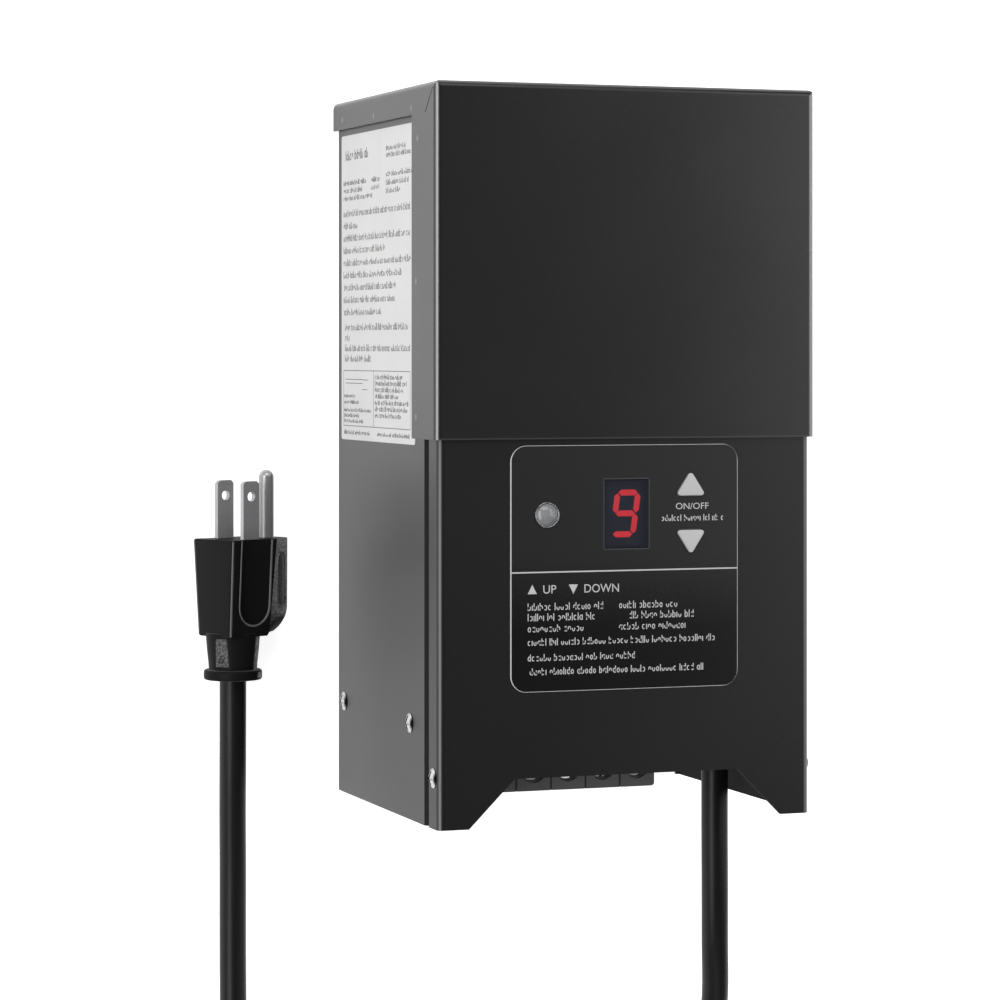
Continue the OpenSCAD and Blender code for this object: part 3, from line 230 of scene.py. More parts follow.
# Bright zinc, nickel and other metals: drawn lines, cloudy roughness
def metal(name, tone, rough, spangle=120, rim=False, bare=1.0):
    made = Finish(name, metallic=bare)
    cloud = made.noise(spangle, 3)
    x, y, z = made.axes()
    stretched = made.node("CombineXYZ", inputs={0: x * 1800, 1: y * 60, 2: z * 1800})
    lines = made.noise(1, 2, at=stretched)
    shade = made.mix(cloud, [c * 0.8 for c in tone], tone)
    if rim:  # painted shade and a painted dark reflection on a side screw's rim and recess
        turnZ = made.axes(made.facing())[2]
        shade = made.mix(made.band(turnZ, 0.34, 0.50), shade, (0.010, 0.010, 0.010))
    made.set(
        baseColor=shade, roughness=rough + cloud * 0.12 + lines * 0.06 - 0.09,
        normal=made.bump(lines, 0.12, 0.00003),
    )
    return made


# Mouldings and rubber: a fine spark-eroded grain over a slow mottle
def moulding(name, tone, rough, grain=2200, depth=0.00003, spread=0.12, shine=0.5):
    made = Finish(name, specularIORLevel=shine)
    slow, fine = made.noise(45, 2), made.noise(grain, 2, 0.6)
    made.set(
        baseColor=made.mix(slow, [c * (1 - spread) for c in tone], [c * (1 + spread) for c in tone]),
        roughness=rough + slow * 0.08 + fine * 0.05 - 0.065,
        normal=made.bump(fine, 0.3, depth),
    )
    return made


hoodPaint = powderCoat("hoodPaint", 0.27, shine=0.62, rub=0.75, welds=True)
panelPaint = powderCoat("panelPaint", 0.30, shine=0.44, rub=0.35)
bodyPaint = powderCoat("bodyPaint", 0.27, seam=True)
zinc = metal("zinc", (0.62, 0.63, 0.65), 0.3)
# painted shade: a darker copy of zinc for the terminal screws that lie in shadow
shadedZinc = metal("shadedZinc", (0.20, 0.20, 0.20), 0.42)
rimShadedZinc = metal("rimShadedZinc", (0.66, 0.66, 0.67), 0.24, rim=True)
nickel = metal("nickel", (0.50, 0.50, 0.51), 0.32, spangle=900, bare=0.55)
brass = metal("brass", (0.62, 0.42, 0.16), 0.3)
cordJacket = moulding("cordJacket", (0.007, 0.007, 0.0075), 0.38, grain=1400, shine=0.24)
plugVinyl = moulding("plugVinyl", (0.0085, 0.0085, 0.009), 0.48, grain=1700, depth=0.00005, shine=0.07)
# painted highlight: a lighter vinyl for the scoops' edges and the parting lines
lipHighlightVinyl = moulding("lipHighlightVinyl", (0.10, 0.10, 0.10), 0.33, grain=1700)
blackMoulding = moulding("blackMoulding", (0.11, 0.11, 0.112), 0.5)
buttonPlastic = moulding("buttonPlastic", (0.49, 0.49, 0.495), 0.42, grain=900, spread=0.04)
nylon = moulding("nylon", (0.66, 0.62, 0.50), 0.45)
relayBlue = moulding("relayBlue", (0.02, 0.10, 0.38), 0.25)
sleeve = moulding("sleeve", (0.02, 0.02, 0.03), 0.3)
receptacleRed = moulding("receptacleRed", (0.42, 0.03, 0.03), 0.35)
sensorClay = moulding("sensorClay", (0.35, 0.12, 0.06), 0.5)
wireRed = moulding("wireRed", (0.40, 0.02, 0.02), 0.4)
wireBlack = moulding("wireBlack", (0.015, 0.015, 0.015), 0.4)
wireWhite = moulding("wireWhite", (0.75, 0.75, 0.73), 0.4)
wireGreen = moulding("wireGreen", (0.03, 0.25, 0.07), 0.4)
wireYellow = moulding("wireYellow", (0.65, 0.42, 0.03), 0.4)
greenScrew = metal("greenScrew", (0.12, 0.42, 0.18), 0.35)


# Piece makers
def linked(name, data):
    piece = bpy.data.objects.new(name, data)
    bpy.context.scene.collection.objects.link(piece)
    return piece


def meshPiece(name, verts, faces, finish, body="root", smooth=True, sharp=35, bevel=0.0):
    data = bpy.data.meshes.new(name)
    data.from_pydata([tuple(v) for v in verts], [], faces)
    work = bmesh.new()
    work.from_mesh(data)
    bmesh.ops.recalc_face_normals(work, faces=work.faces)
    if bevel:
        edges = [e for e in work.edges if len(e.link_faces) == 2 and e.calc_face_angle() > radians(sharp)]
        bmesh.ops.bevel(
            work, geom=edges, offset=bevel, segments=3, profile=0.5, affect="EDGES", clamp_overlap=True,
        )
    work.to_mesh(data)
    work.free()
    if smooth:
        data.polygons.foreach_set("use_smooth", [True] * len(data.polygons))
        data.set_sharp_from_angle(angle=radians(sharp))
    piece = linked(name, data)
    dress(piece, finish)
    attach(piece, body)
    return piece


def prism(points, low, high):  # outline in x and y raised from low to high
    n = len(points)
    verts = [(x, y, z) for z in (low, high) for x, y in points]
    faces = [tuple(range(n - 1, -1, -1)), tuple(range(n, 2 * n))]
    faces += [(i, (i + 1) % n, n + (i + 1) % n, n + i) for i in range(n)]
    return verts, faces


def lathe(profile, sides=48):  # (radius, height) pairs turned about z, closed at both ends
    verts, faces = [], []
    for r, z in profile:
        verts += [(r * cos(2 * pi * k / sides), r * sin(2 * pi * k / sides), z) for k in range(sides)]
    for i in range(len(profile) - 1):
        for k in range(sides):
            a, b = i * sides + k, i * sides + (k + 1) % sides
            faces.append((a, b, b + sides, a + sides))
    faces.append(tuple(range(sides - 1, -1, -1)))
    faces.append(tuple(range((len(profile) - 1) * sides, len(profile) * sides)))
    return verts, faces


def placed(matrix, verts):
    return [matrix @ Vector(v) for v in verts]


def wayMatrix(across, up, out, at):  # a place with its own three directions
    return Matrix(((*across, 0), (*up, 0), (*out, 0), (*at, 1))).transposed()


def roundedOutline(x0, y0, x1, y1, r, steps=10):
    points = []
    left, right, low, high = x0 + r, x1 - r, y0 + r, y1 - r
    for cx, cy, start in ((right, low, -90), (right, high, 0), (left, high, 90), (left, low, 180)):
        for k in range(steps + 1):
            a = radians(start + 90 * k / steps)
            points.append((cx + r * cos(a), cy + r * sin(a)))
    return points


def joined(parts):  # several (verts, faces) lists as one
    verts, faces = [], []
    for v, f in parts:
        faces += [tuple(i + len(verts) for i in face) for face in f]
        verts += list(v)
    return verts, faces


def softened(points, steps):  # curve through the points, straight along the first and last stretch
    points = [Vector(p) for p in points]
    out = [points[0]]
    for i in range(1, len(points) - 2):
        p0, p1, p2, p3 = points[i - 1:i + 3]
        for j in range(steps):
            u = j / steps
            out.append(0.5 * (2 * p1 + (p2 - p0) * u + (2 * p0 - 5 * p1 + 4 * p2 - p3) * u * u
                              + (3 * p1 - p0 - 3 * p2 + p3) * u * u * u))
    return out + points[-2:]


def tube(path, radius, sides):
    path = [Vector(p) for p in path]
    last = len(path) - 1
    along = [(path[min(i + 1, last)] - path[max(i - 1, 0)]).normalized() for i in range(last + 1)]
    side = Vector((0, 0, 1)) if abs(along[0].z) < 0.9 else Vector((0, 1, 0))
    turns = [2 * pi * k / sides for k in range(sides)]
    verts, faces = [], []
    for p, t in zip(path, along):
        side = (side - side.dot(t) * t).normalized()
        other = t.cross(side)
        verts += [p + radius * (cos(a) * side + sin(a) * other) for a in turns]
    for i in range(last):
        for k in range(sides):
            a, b = i * sides + k, i * sides + (k + 1) % sides
            faces.append((a, b, b + sides, a + sides))
    faces.append(tuple(range(sides - 1, -1, -1)))
    faces.append(tuple(range(last * sides, (last + 1) * sides)))
    return verts, faces


# The cord: out of the bushing, down to the floor, a put-away coil, and back up to the plug
cordFacts = {
    "diameter": 0.0084, "sides": 28,
    "out": [
        (46.2, -93, 60), (46.2, -103, 60), (46.2, -120, 60), (46.7, -138, 59), (48, -156, 56),
        (50.4, -174, 50.5), (51.6, -190, 43.5), (51, -205, 35.5), (48.8, -219, 27.5), (45, -232, 20),
        (39.4, -244, 15), (36, -253, 13.4), (36, -259, 13.4),
    ],
    "plug": [
        (-97.7, -72.3, 13.1), (-97.7, -81, 13.1), (-97.4, -98, 11.8), (-96.7, -115, 9), (-95.9, -132, 6.3),
        (-95.5, -150, 4.8), (-95.3, -168, 4.3), (-95, -186, 4.3), (-93.5, -204, 4.3), (-90, -221, 4.3),
        (-85, -237, 4.3), (-80, -252, 4.3), (-80, -259, 4.3),
    ],
    "coil": {
        "x": -22, "y": -268, "r": 58, "step": 10.4, "turnsIn": 1.5, "layer": 9.1, "low": 4.3, "perTurn": 48,
    },
}


def coilPoints(c):
    turnsDown = 0.5
    count = int((2 * c["turnsIn"] + turnsDown) * c["perTurn"])
    points = []
    for i in range(count + 1):
        turn = i / c["perTurn"]
        if turn <= c["turnsIn"]:
            r = c["r"] - c["step"] * turn
        elif turn <= c["turnsIn"] + turnsDown:
            r = c["r"] - c["step"] * c["turnsIn"]
        else:
            r = c["r"] - c["step"] * (2 * c["turnsIn"] + turnsDown - turn)
        s = min(max((turn - c["turnsIn"]) / turnsDown, 0), 1)
        drop = c["layer"] * s * s * (3 - 2 * s)
        a = 2 * pi * turn
        points.append((c["x"] + r * cos(a), c["y"] - r * sin(a), c["low"] + c["layer"] - drop))
    return points


cordPath = (softened(cordFacts["out"], 4) + [Vector(p) for p in coilPoints(cordFacts["coil"])]
            + softened(cordFacts["plug"], 4)[::-1])
cordPath = [p * mm for p in cordPath]
cordLength = sum((b - a).length for a, b in zip(cordPath, cordPath[1:]))
cordMesh = tube(cordPath, cordFacts["diameter"] / 2, cordFacts["sides"])
supplyCord = meshPiece("supplyCord", *cordMesh, cordJacket, sharp=60)
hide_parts("cord_run_out", "cord_coil", "cord_run_plug")
print("cord laid:", round(cordLength, 4), "m")


# Plug, drawn with its face at z = 0 and its pins along +z, then tilted into place
plugFacts = {
    "at": (-97.7, -28.3, 13.1), "turn": 24, "length": 30.3, "levels": 26,
    "faceHalf": 10, "footHalf": 8.1, "flat": (-8, -7.5), "side": (9.6, 7.9), "nose": 18.3, "noseHalf": 5,
    "noseRound": 11, "corner": 1.3, "edge": 0.45, "lip": 0.3,
    "scoop": {"at": 1.7, "width": 12.2, "length": 27, "depth": 0.9},
    "pad": {"width": 5, "length": 17, "depth": 0.7, "down": 0.42, "inset": 0.25, "sunk": 0.15},
    "neck": [(7.55, -40.8), (7.7, -38.5), (8.12, -34.6), (8.55, -29.3)],
    "collar": {"r": 9.15, "low": -44, "high": -40.8, "round": 0.8},
}
plugPlace = (
    Matrix.Translation(Vector(plugFacts["at"]) * mm) @ Matrix.Rotation(radians(plugFacts["turn"]), 4, "Y")
    @ Matrix.Rotation(radians(-90), 4, "X") @ Matrix.Scale(mm, 4)
)


def roundedLoop(corners, r, steps=5):  # closed outline with its corners cut to arcs of radius r
    points = []
    n = len(corners)
    for i in range(n):
        here = Vector(corners[i])
        before = (Vector(corners[i - 1]) - here).normalized()
        after = (Vector(corners[(i + 1) % n]) - here).normalized()
        half = before.angle(after) / 2
        centre = here + (before + after).normalized() * (r / sin(half))
        first = here + before * (r / tan(half)) - centre
        turn = pi - 2 * half
        for k in range(steps + 1):
            a = turn * k / steps
            points.append(centre + Matrix.Rotation(a, 2) @ first)
    return points


def plugShell(f):
    verts, faces = [], []
    for i in range(f["levels"] + 1):
        z = -f["length"] * i / f["levels"]
        s = i / f["levels"]
        half = f["faceHalf"] + (f["footHalf"] - f["faceHalf"]) * s
        flat = f["flat"][0] + (f["flat"][1] - f["flat"][0]) * s
        side = f["side"][0] + (f["side"][1] - f["side"][0]) * s
        rise = -f["length"] + f["noseRound"] - z
        nose = f["nose"]
        if rise >= 0:
            nose += sqrt(max(f["noseRound"] ** 2 - rise ** 2, 0)) - f["noseRound"]
        below = [(flat, -half), (side, -half), (f["nose"], -f["noseHalf"])]
        loop = roundedLoop(below + [(x, -y) for x, y in reversed(below)], f["corner"])
        verts += [(min(p.x, nose), p.y, z) for p in loop]
        n = len(loop)
        if i:
            last, here = (i - 1) * n, i * n
            faces += [(last + k, last + (k + 1) % n, here + (k + 1) % n, here + k) for k in range(n)]
    faces += [tuple(range(n)), tuple(range(f["levels"] * n + n - 1, f["levels"] * n - 1, -1))]
    return verts, faces


def stadium(width, length, steps=12):
    r, straight = width / 2, length - width
    top = [(r * cos(pi * k / steps), straight / 2 + r * sin(pi * k / steps)) for k in range(steps + 1)]
    return top + [(-x, -y) for x, y in top]


def raw(verts, faces):
    data = bpy.data.meshes.new("work")
    data.from_pydata([tuple(v) for v in verts], [], faces)
    work = bmesh.new()
    work.from_mesh(data)
    bmesh.ops.recalc_face_normals(work, faces=work.faces)
    work.to_mesh(data)
    work.free()
    return linked("work", data)


def applied(piece):
    bpy.context.view_layer.update()
    made = bpy.data.meshes.new_from_object(piece.evaluated_get(bpy.context.evaluated_depsgraph_get()))
    piece.modifiers.clear()
    piece.data = made
    return piece


def noseWay(f, side):  # outward from a slanted side of the nose
    lean = atan2(f["faceHalf"] - f["noseHalf"], f["nose"] - f["side"][0])
    return Vector((sin(lean), side * cos(lean), 0))


def padPlace(f, side):  # middle of a slanted side's pad
    across, along = (f["side"][0] + f["nose"]) / 2, (f["faceHalf"] + f["noseHalf"]) / 2
    up, out = Vector((0, 0, 1)), noseWay(f, side)
    return wayMatrix(up.cross(out), up, out, (across, side * along, -f["length"] * f["pad"]["down"]))


def scoopPlace(f, side):  # on a flat side at the face, leaning with it
    slant = atan2(f["faceHalf"] - f["footHalf"], f["length"])
    ways = wayMatrix((1, 0, 0), (0, 0, 1), (0, side, 0), (f["scoop"]["at"], 0, 0))
    return Matrix.Translation((0, side * f["faceHalf"], 0)) @ Matrix.Rotation(-side * slant, 4, "X") @ ways


def scoopOutline(scoop, top, steps=16):  # down one side, round the end and up the other side to the top
    half = scoop["width"] / 2
    middle = half - scoop["length"]
    turns = [pi + pi * k / steps for k in range(steps + 1)]
    return [(-half, top)] + [(half * cos(a), middle + half * sin(a)) for a in turns] + [(half, top)]


def collarProfile(f):
    r = f["round"]
    bends = [(f["low"] + r, -90), (f["high"] - r, 0)]
    rim = [(f["r"] - r + r * cos(radians(start + 15 * k)), z + r * sin(radians(start + 15 * k)))
           for z, start in bends for k in range(7)]
    return [(4.0, f["low"])] + rim + [(7.0, f["high"])]


def plugSkin(f):  # the body with its scoops and pads cut in, the neck and the collar
    shell = raw(*plugShell(f))
    cutters = []
    for side in (-1, 1):
        verts, faces = prism(scoopOutline(f["scoop"], 3), -f["scoop"]["depth"], 4)
        cutters.append(raw(placed(scoopPlace(f, side), verts), faces))
        verts, faces = prism(stadium(f["pad"]["width"], f["pad"]["length"]), -f["pad"]["depth"], 3)
        cutters.append(raw(placed(padPlace(f, side), verts), faces))
    for cutter in cutters:
        change = shell.modifiers.new("cut", "BOOLEAN")
        change.object, change.operation, change.solver = cutter, "DIFFERENCE", "EXACT"
    applied(shell)
    edges = shell.modifiers.new("edges", "BEVEL")
    edges.width, edges.segments, edges.limit_method, edges.angle_limit = f["edge"], 3, "ANGLE", radians(32)
    applied(shell)
    verts = [v.co.copy() for v in shell.data.vertices]
    faces = [tuple(p.vertices) for p in shell.data.polygons]
    for used in [shell] + cutters:
        bpy.data.objects.remove(used)
    return joined([(verts, faces), lathe(f["neck"], 64), lathe(collarProfile(f["collar"]), 64)])


def plugLines(f):  # the scoops' raised edges and the parting lines, in a lighter vinyl that is a painted highlight on them
    parts = []
    corner = f["corner"] * 0.29
    for side in (-1, 1):
        edge = [(x, y, -0.1) for x, y in reversed(scoopOutline(f["scoop"], -0.2))]
        parting = [(f["flat"][0] + corner, side * (f["faceHalf"] - corner), -0.3),
                   (f["flat"][1] + corner, side * (f["footHalf"] - corner), 0.3 - f["length"])]
        parts += [tube(placed(scoopPlace(f, side), edge), f["lip"], 8), tube(parting, f["lip"], 8)]
    return joined(parts)


def frostAndSheenNose(finish):  # the slanted sides of the nose are frosted, as a grip; their speckled light grey is also a painted sheen
    facing = finish.facing()
    frostSheen = 0
    for side in (-1, 1):
        out = (plugPlace.to_3x3() @ noseWay(plugFacts, side)).normalized()
        match = finish.node("VectorMath", {"operation": "DOT_PRODUCT"}, {0: facing, 1: tuple(out)}, out=1)
        frostSheen = frostSheen + finish.band(match, 0.97, 0.995)
    speckle = finish.band(finish.noise(1300, 2, 0.7), 0.25, 0.6)
    plain = Signal(finish, finish.shader.inputs["Base Color"].links[0].from_socket)
    # painted sheen: the frosted speckles are given a light grey
    finish.set(baseColor=finish.mix(frostSheen * speckle, plain, (0.50, 0.50, 0.50)))


frostAndSheenNose(plugVinyl)
verts, faces = plugSkin(plugFacts)
plugBody = meshPiece("plugBody", placed(plugPlace, verts), faces, plugVinyl, sharp=40)
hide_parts("plug_body")
verts, faces = plugLines(plugFacts)
plugLips = meshPiece("plugLips", placed(plugPlace, verts), faces, lipHighlightVinyl, sharp=60)

# Knurled grip pads in the slanted sides
gripVinyl = Finish("gripVinyl", roughness=0.6)
x, y, z = gripVinyl.axes()
across = x * 0.6 + z * 0.6
knurl = gripVinyl.wave((across + y) * 5200) * gripVinyl.wave((across - y) * 5200)
gripVinyl.set(
    baseColor=gripVinyl.mix(gripVinyl.band(knurl, -0.4, 0.6), (0.006, 0.006, 0.006), (0.035, 0.035, 0.035)),
    normal=gripVinyl.bump(knurl, 0.8, 0.0002),
)
pad = plugFacts["pad"]
parts = []
for side in (-1, 1):
    outline = stadium(pad["width"] - pad["inset"], pad["length"] - pad["inset"], 16)
    verts, faces = prism(outline, -pad["depth"] - 0.2, -pad["sunk"])
    parts.append((placed(plugPlace @ padPlace(plugFacts, side), verts), faces))
gripPads = meshPiece("gripPads", *joined(parts), gripVinyl, bevel=0.00022, sharp=50)

# Grained strip and moulding mark on the neck; the mark's darker colour is painted shade in its hollow
stripFacts = {
    "turn": 205, "wide": 34, "low": -39.6, "high": -30.9, "r": (7.63, 8.42), "sunk": 0.1, "proud": 0.18,
    "narrowing": 0.25, "steps": 10, "rows": 12,
}
gateFacts = {
    "turn": 203, "r": 7.8, "z": -37.6,
    "profile": [(0.9, -0.4), (0.9, 0.12), (0.7, 0.22), (0.5, 0.05), (0.1, 0.0)],
}


def neckPatch(f):  # a curved plate: its under side, its top and the rim between them
    steps, rows = f["steps"], f["rows"]
    wide = steps + 1
    verts, faces = [], []
    for lift in (0.0, f["proud"]):
        for j in range(rows + 1):
            s = j / rows
            r = f["r"][0] + (f["r"][1] - f["r"][0]) * s - f["sunk"] + lift
            for i in range(wide):
                a = radians(f["turn"] + f["wide"] * (i / steps - 0.5) * (1 - f["narrowing"] * s))
                verts.append((r * cos(a), r * sin(a), f["low"] + (f["high"] - f["low"]) * s))
    top = (rows + 1) * wide
    for a in (j * wide + i for j in range(rows) for i in range(steps)):
        faces.append((top + a, top + a + 1, top + a + wide + 1, top + a + wide))
        faces.append((a, a + wide, a + wide + 1, a + 1))
    right, left = [j * wide + steps for j in range(1, rows)], [j * wide for j in range(rows - 1, 0, -1)]
    rim = list(range(wide)) + right + [rows * wide + i for i in range(steps, -1, -1)] + left
    faces += [(a, b, top + b, top + a) for a, b in zip(rim, rim[1:] + rim[:1])]
    return verts, faces


grained = Finish("grained", roughness=0.45)
grit = grained.noise(1500, 2, 0.6)
grained.set(
    baseColor=grained.mix(grained.band(grit, 0.42, 0.6), (0.008, 0.008, 0.008), (0.11, 0.11, 0.11)),
    normal=grained.bump(grit, 0.9, 0.0003),
)
verts, faces = neckPatch(stripFacts)
neckStrip = meshPiece("neckStrip", placed(plugPlace, verts), faces, grained)
gatePlace = (
    plugPlace @ Matrix.Rotation(radians(gateFacts["turn"]), 4, "Z")
    @ Matrix.Translation((gateFacts["r"], 0, gateFacts["z"])) @ Matrix.Rotation(radians(90), 4, "Y")
)
# painted shade: the mark's hollow is coloured darker
gateShade = moulding("gateShade", (0.004, 0.004, 0.004), 0.7)
verts, faces = lathe(gateFacts["profile"], 24)
gateMark = meshPiece("gateMark", placed(gatePlace, verts), faces, gateShade, sharp=60)

cordEnd = (0.0462, -0.093, 0.060)
for piece in (plugBody, plugLips, gripPads, neckStrip, supplyCord):
    piece.visible_glossy = False  # the wall beside them shows only the floor in its sheen, as photographed
print("plug moulded")


# Inner cord end and leads, through the places that the model gives them
leadFacts = {"diameter": 0.0024, "sides": 14, "steps": 6}
mainsLive = [
    (46.2, -69, 58.6), (46.2, -66.6, 58.6), (46.2, -29.9, 60), (46.2, 4.5, 76.4), (34.6, 44.8, 86),
    (28.7, 68.5, 81.8), (26.3, 68.5, 81.8),
]
mainsNeutral = [
    (44.8, -69, 61.2), (44.8, -66.6, 61.2), (34.4, -50.5, 72.4), (26, -58.9, 78.4), (26, -58.9, 80.8),
]
mainsEarth = [
    (47.6, -69, 61.2), (47.6, -66.6, 61.2), (51.3, -69.8, 73.8), (47.1, -83.2, 78), (42.9, -83.2, 78),
]
leads = {
    "mainsLive": ("mains_leads", wireBlack, mainsLive),
    "mainsNeutral": ("mains_leads", wireWhite, mainsNeutral),
    "mainsEarth": ("mains_leads", wireGreen, mainsEarth),
}
for i, (top, foot) in enumerate(((-7.2, -21.8), (-2.4, -10.6), (2.4, 0.6), (7.2, 11.8))):
    route = [(top, 30.5, 78.1), (top, 22.3, 78.1), (top, 4.5, 68)]
    route += [(foot, -50.9, 60), (foot, -63.7, 73.6), (foot, -72, 73.6)]
    leads[f"tapLead{i + 1}"] = ("secondary_leads", wireRed, route)
for i, across in enumerate((18.8, 23.6)):
    route = [(-58.9, 80.8), (-58.9, 78.4), (-42.1, 72.4), (4.5, 72.2), (22.3, 78.1), (30.5, 78.1)]
    leads[f"controlLead{i + 1}"] = ("control_leads", wireYellow, [(across, y, z) for y, z in route])
for name, (node, finish, points) in leads.items():
    path = [p * mm for p in softened(points, leadFacts["steps"])]
    lead = meshPiece(name, *tube(path, leadFacts["diameter"] / 2, leadFacts["sides"]), finish, sharp=60)
    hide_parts(node)
tailTurn = Matrix.Translation(cordEnd) @ Matrix.Rotation(radians(-90), 4, "X") @ Matrix.Scale(mm, 4)
verts, faces = lathe([(4.2, 0), (4.2, 23.4), (4.0, 23.8), (3.4, 24.0), (3.2, 23.7)], 32)
cordTail = meshPiece("cordTail", placed(tailTurn, verts), faces, cordJacket, sharp=50)
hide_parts("cord_tail")
print("leads run:", len(leads))


# Push buttons: triangular caps with soft edges, each with its rim behind the panel
buttonFacts = {
    "x": 20.3, "row": -18, "gap": 10.3, "width": 8.3, "height": 6.8, "corner": 0.8, "dome": 0.28,
    "rim": 1.2, "seat": 99.25, "rimTop": 100.45, "top": 102.75,
}


def triangle(f, grow):
    half, r = f["width"] / 2 - f["corner"], f["corner"] + grow
    centres = [(-half, f["corner"]), (half, f["corner"]), (0, f["height"] - f["corner"])]
    points = []
    for i in range(3):
        before, here, after = centres[i - 1], centres[i], centres[(i + 1) % 3]
        start = atan2(before[0] - here[0], here[1] - before[1])
        turn = (atan2(here[0] - after[0], after[1] - here[1]) - start) % (2 * pi)
        angles = [start + turn * k / 8 for k in range(9)]
        points += [(here[0] + r * cos(a), here[1] + r * sin(a)) for a in angles]
    return points


def buttonCap(f):  # the edge rolls over by the dome
    dome, shoulder = f["dome"], f["top"] - f["dome"]
    turns = [radians(a) for a in (22.5, 45, 67.5, 90)]
    levels = [(0, f["rimTop"] - 0.2), (0, shoulder)]
    levels += [(dome * (cos(a) - 1), shoulder + dome * sin(a)) for a in turns]
    loops = [[(x, y, z) for x, y in triangle(f, grow)] for grow, z in levels]
    n, last = len(loops[0]), len(loops) - 1
    faces = [(i * n + k, i * n + (k + 1) % n, (i + 1) * n + (k + 1) % n, (i + 1) * n + k)
             for i in range(last) for k in range(n)]
    faces += [tuple(range(n - 1, -1, -1)), tuple(range(last * n, (last + 1) * n))]
    rim = prism(triangle(f, f["rim"]), f["seat"], f["rimTop"])
    return joined([([v for loop in loops for v in loop], faces), rim])


for name, body, way in (("upCap", "up_button", 1), ("downCap", "down_button", -1)):
    f = buttonFacts
    at = Matrix.Translation((f["x"] * mm, (f["row"] + way * f["gap"] / 2) * mm, 0))
    verts, faces = buttonCap(f)
    verts = placed(at @ Matrix.Diagonal((mm, way * mm, mm, 1)), verts)
    cap = meshPiece(name, verts, faces, buttonPlastic, body=body, sharp=50)
    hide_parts(body)
print("buttons made")


# Generic print: marks that spell nothing, ruled lines and a few plain words
def bar(x0, y0, x1, y1):
    return [(x0, y0), (x1, y0), (x1, y1), (x0, y1)]


def hook(cx, cy, rx, ry, pen, start, sweep, steps=9):  # part of an oval, drawn with a pen
    turns = [radians(start + sweep * k / steps) for k in range(steps + 1)]
    outer = [(cx + rx * cos(a), cy + ry * sin(a)) for a in turns]
    return outer + [(cx + (rx - pen) * cos(a), cy + (ry - pen) * sin(a)) for a in reversed(turns)]


def scribble(rng, x0, x1, y, height, pen, word=(3, 8)):
    out, x, left = [], x0, rng.randint(*word)
    rx, ry = height * 0.24, height * 0.36
    while x + 2 * rx < x1:
        if left == 0:
            x += height * 0.36
            left = rng.randint(*word)
            continue
        kind = rng.random()
        if kind < 0.25:
            out.append(bar(x, y, x + pen, y + (height if kind < 0.15 else 2 * ry)))
            x += pen
        else:
            start, sweep = rng.choice(((0, 355), (50, 260), (230, 260), (-20, 220), (160, 220), (140, 260)))
            out.append(hook(x + rx, y + ry, rx, ry, pen, start, sweep))
            if kind > 0.7:
                side = x if kind > 0.85 else x + 2 * rx - pen
                out.append(bar(side, y, side + pen, y + (height if kind > 0.78 else 2 * ry)))
            x += 2 * rx
        x += height * 0.12
        left -= 1
    return out


def sheetOf(shapes, low, high):  # thin printed shapes in x and y
    return joined([prism(shape, low, high) for shape in shapes])


def ring(outline, inner, low, high):
    n = len(outline)
    verts = [(x, y, z) for z in (low, high) for loop in (outline, inner) for x, y in loop]
    faces = []
    for k in range(n):
        j = (k + 1) % n
        faces += [(2 * n + k, 2 * n + j, 3 * n + j, 3 * n + k), (k, n + k, n + j, j),
                  (k, j, 2 * n + j, 2 * n + k), (n + k, 3 * n + k, 3 * n + j, n + j)]
    return verts, faces


def words(text, x, y, height, low, high, align="LEFT", stretch=1.0):
    data = bpy.data.curves.new("word", "FONT")
    data.body, data.size, data.align_x = text, height / 0.7, align
    data.extrude = (high - low) / 2
    data.resolution_u = 4
    word = linked("word", data)
    bpy.context.view_layer.update()
    made = bpy.data.meshes.new_from_object(word.evaluated_get(bpy.context.evaluated_depsgraph_get()))
    verts = [(x + v.co.x * stretch, y + v.co.y, (low + high) / 2 + v.co.z) for v in made.vertices]
    faces = [tuple(p.vertices) for p in made.polygons]
    bpy.data.objects.remove(word)
    return verts, faces


overlayFacts = {
    "z": 101.95, "ink": 0.03, "line": 0.42, "fine": 0.14, "box": (-37.3, -70.3, 35.7, 2.6), "radius": 5,
    "divider": -34.9, "pen": 0.29, "keys": -41.2,
}
frameFacts = {"inside": 1.75, "line": 0.3, "outer": 0.6, "inner": 0.3}
# Rows of marks: from x, to x, y and height
overlayRows = [
    (10.8, 32.0, -20.4, 1.9), (-31.8, -7.7, -46.2, 2.2), (-2.8, 17.2, -46.2, 2.2), (-31.8, -9.2, -49.3, 2.2),
    (0.4, 22.1, -49.3, 2.2), (-31.8, -13.8, -52.6, 2.2), (-2.8, 20.4, -52.6, 2.2), (-31.8, 29.9, -56.6, 2.1),
    (-31.8, 3.1, -61.2, 2.1), (-31.2, 25.7, -65.3, 2.1),
]
rng = random.Random(5)


def overlayInk(f):
    low, high, line, fine = f["z"], f["z"] + f["ink"], f["line"], f["fine"]
    x0, y0, x1, y1 = f["box"]
    outer = roundedOutline(x0, y0, x1, y1, f["radius"])
    inner = roundedOutline(x0 + line, y0 + fine, x1 - fine, y1 - fine, f["radius"] - line)
    divider = bar(x0 + line, f["divider"] - line / 2, x1 - fine, f["divider"] + line / 2)
    up = [(-31.8, -41.3), (-28.9, -41.3), (-30.35, -38.5)]
    down = [(-18.8, -38.7), (-15.9, -38.7), (-17.35, -41.5)]
    marks = [shape for row in overlayRows for shape in scribble(rng, *row, f["pen"])]
    return joined([
        ring(outer, inner, low, high), sheetOf([divider], low, high),
        words("ON/OFF", 20.85, -16.9, 1.9, low, high, "CENTER", 1.1),
        words("UP", -27.1, f["keys"], 2.5, low, high),
        words("DOWN", -14.1, f["keys"], 2.5, low, high, stretch=0.95),
        sheetOf([up, down], low, high), sheetOf(marks, low, high),
    ])


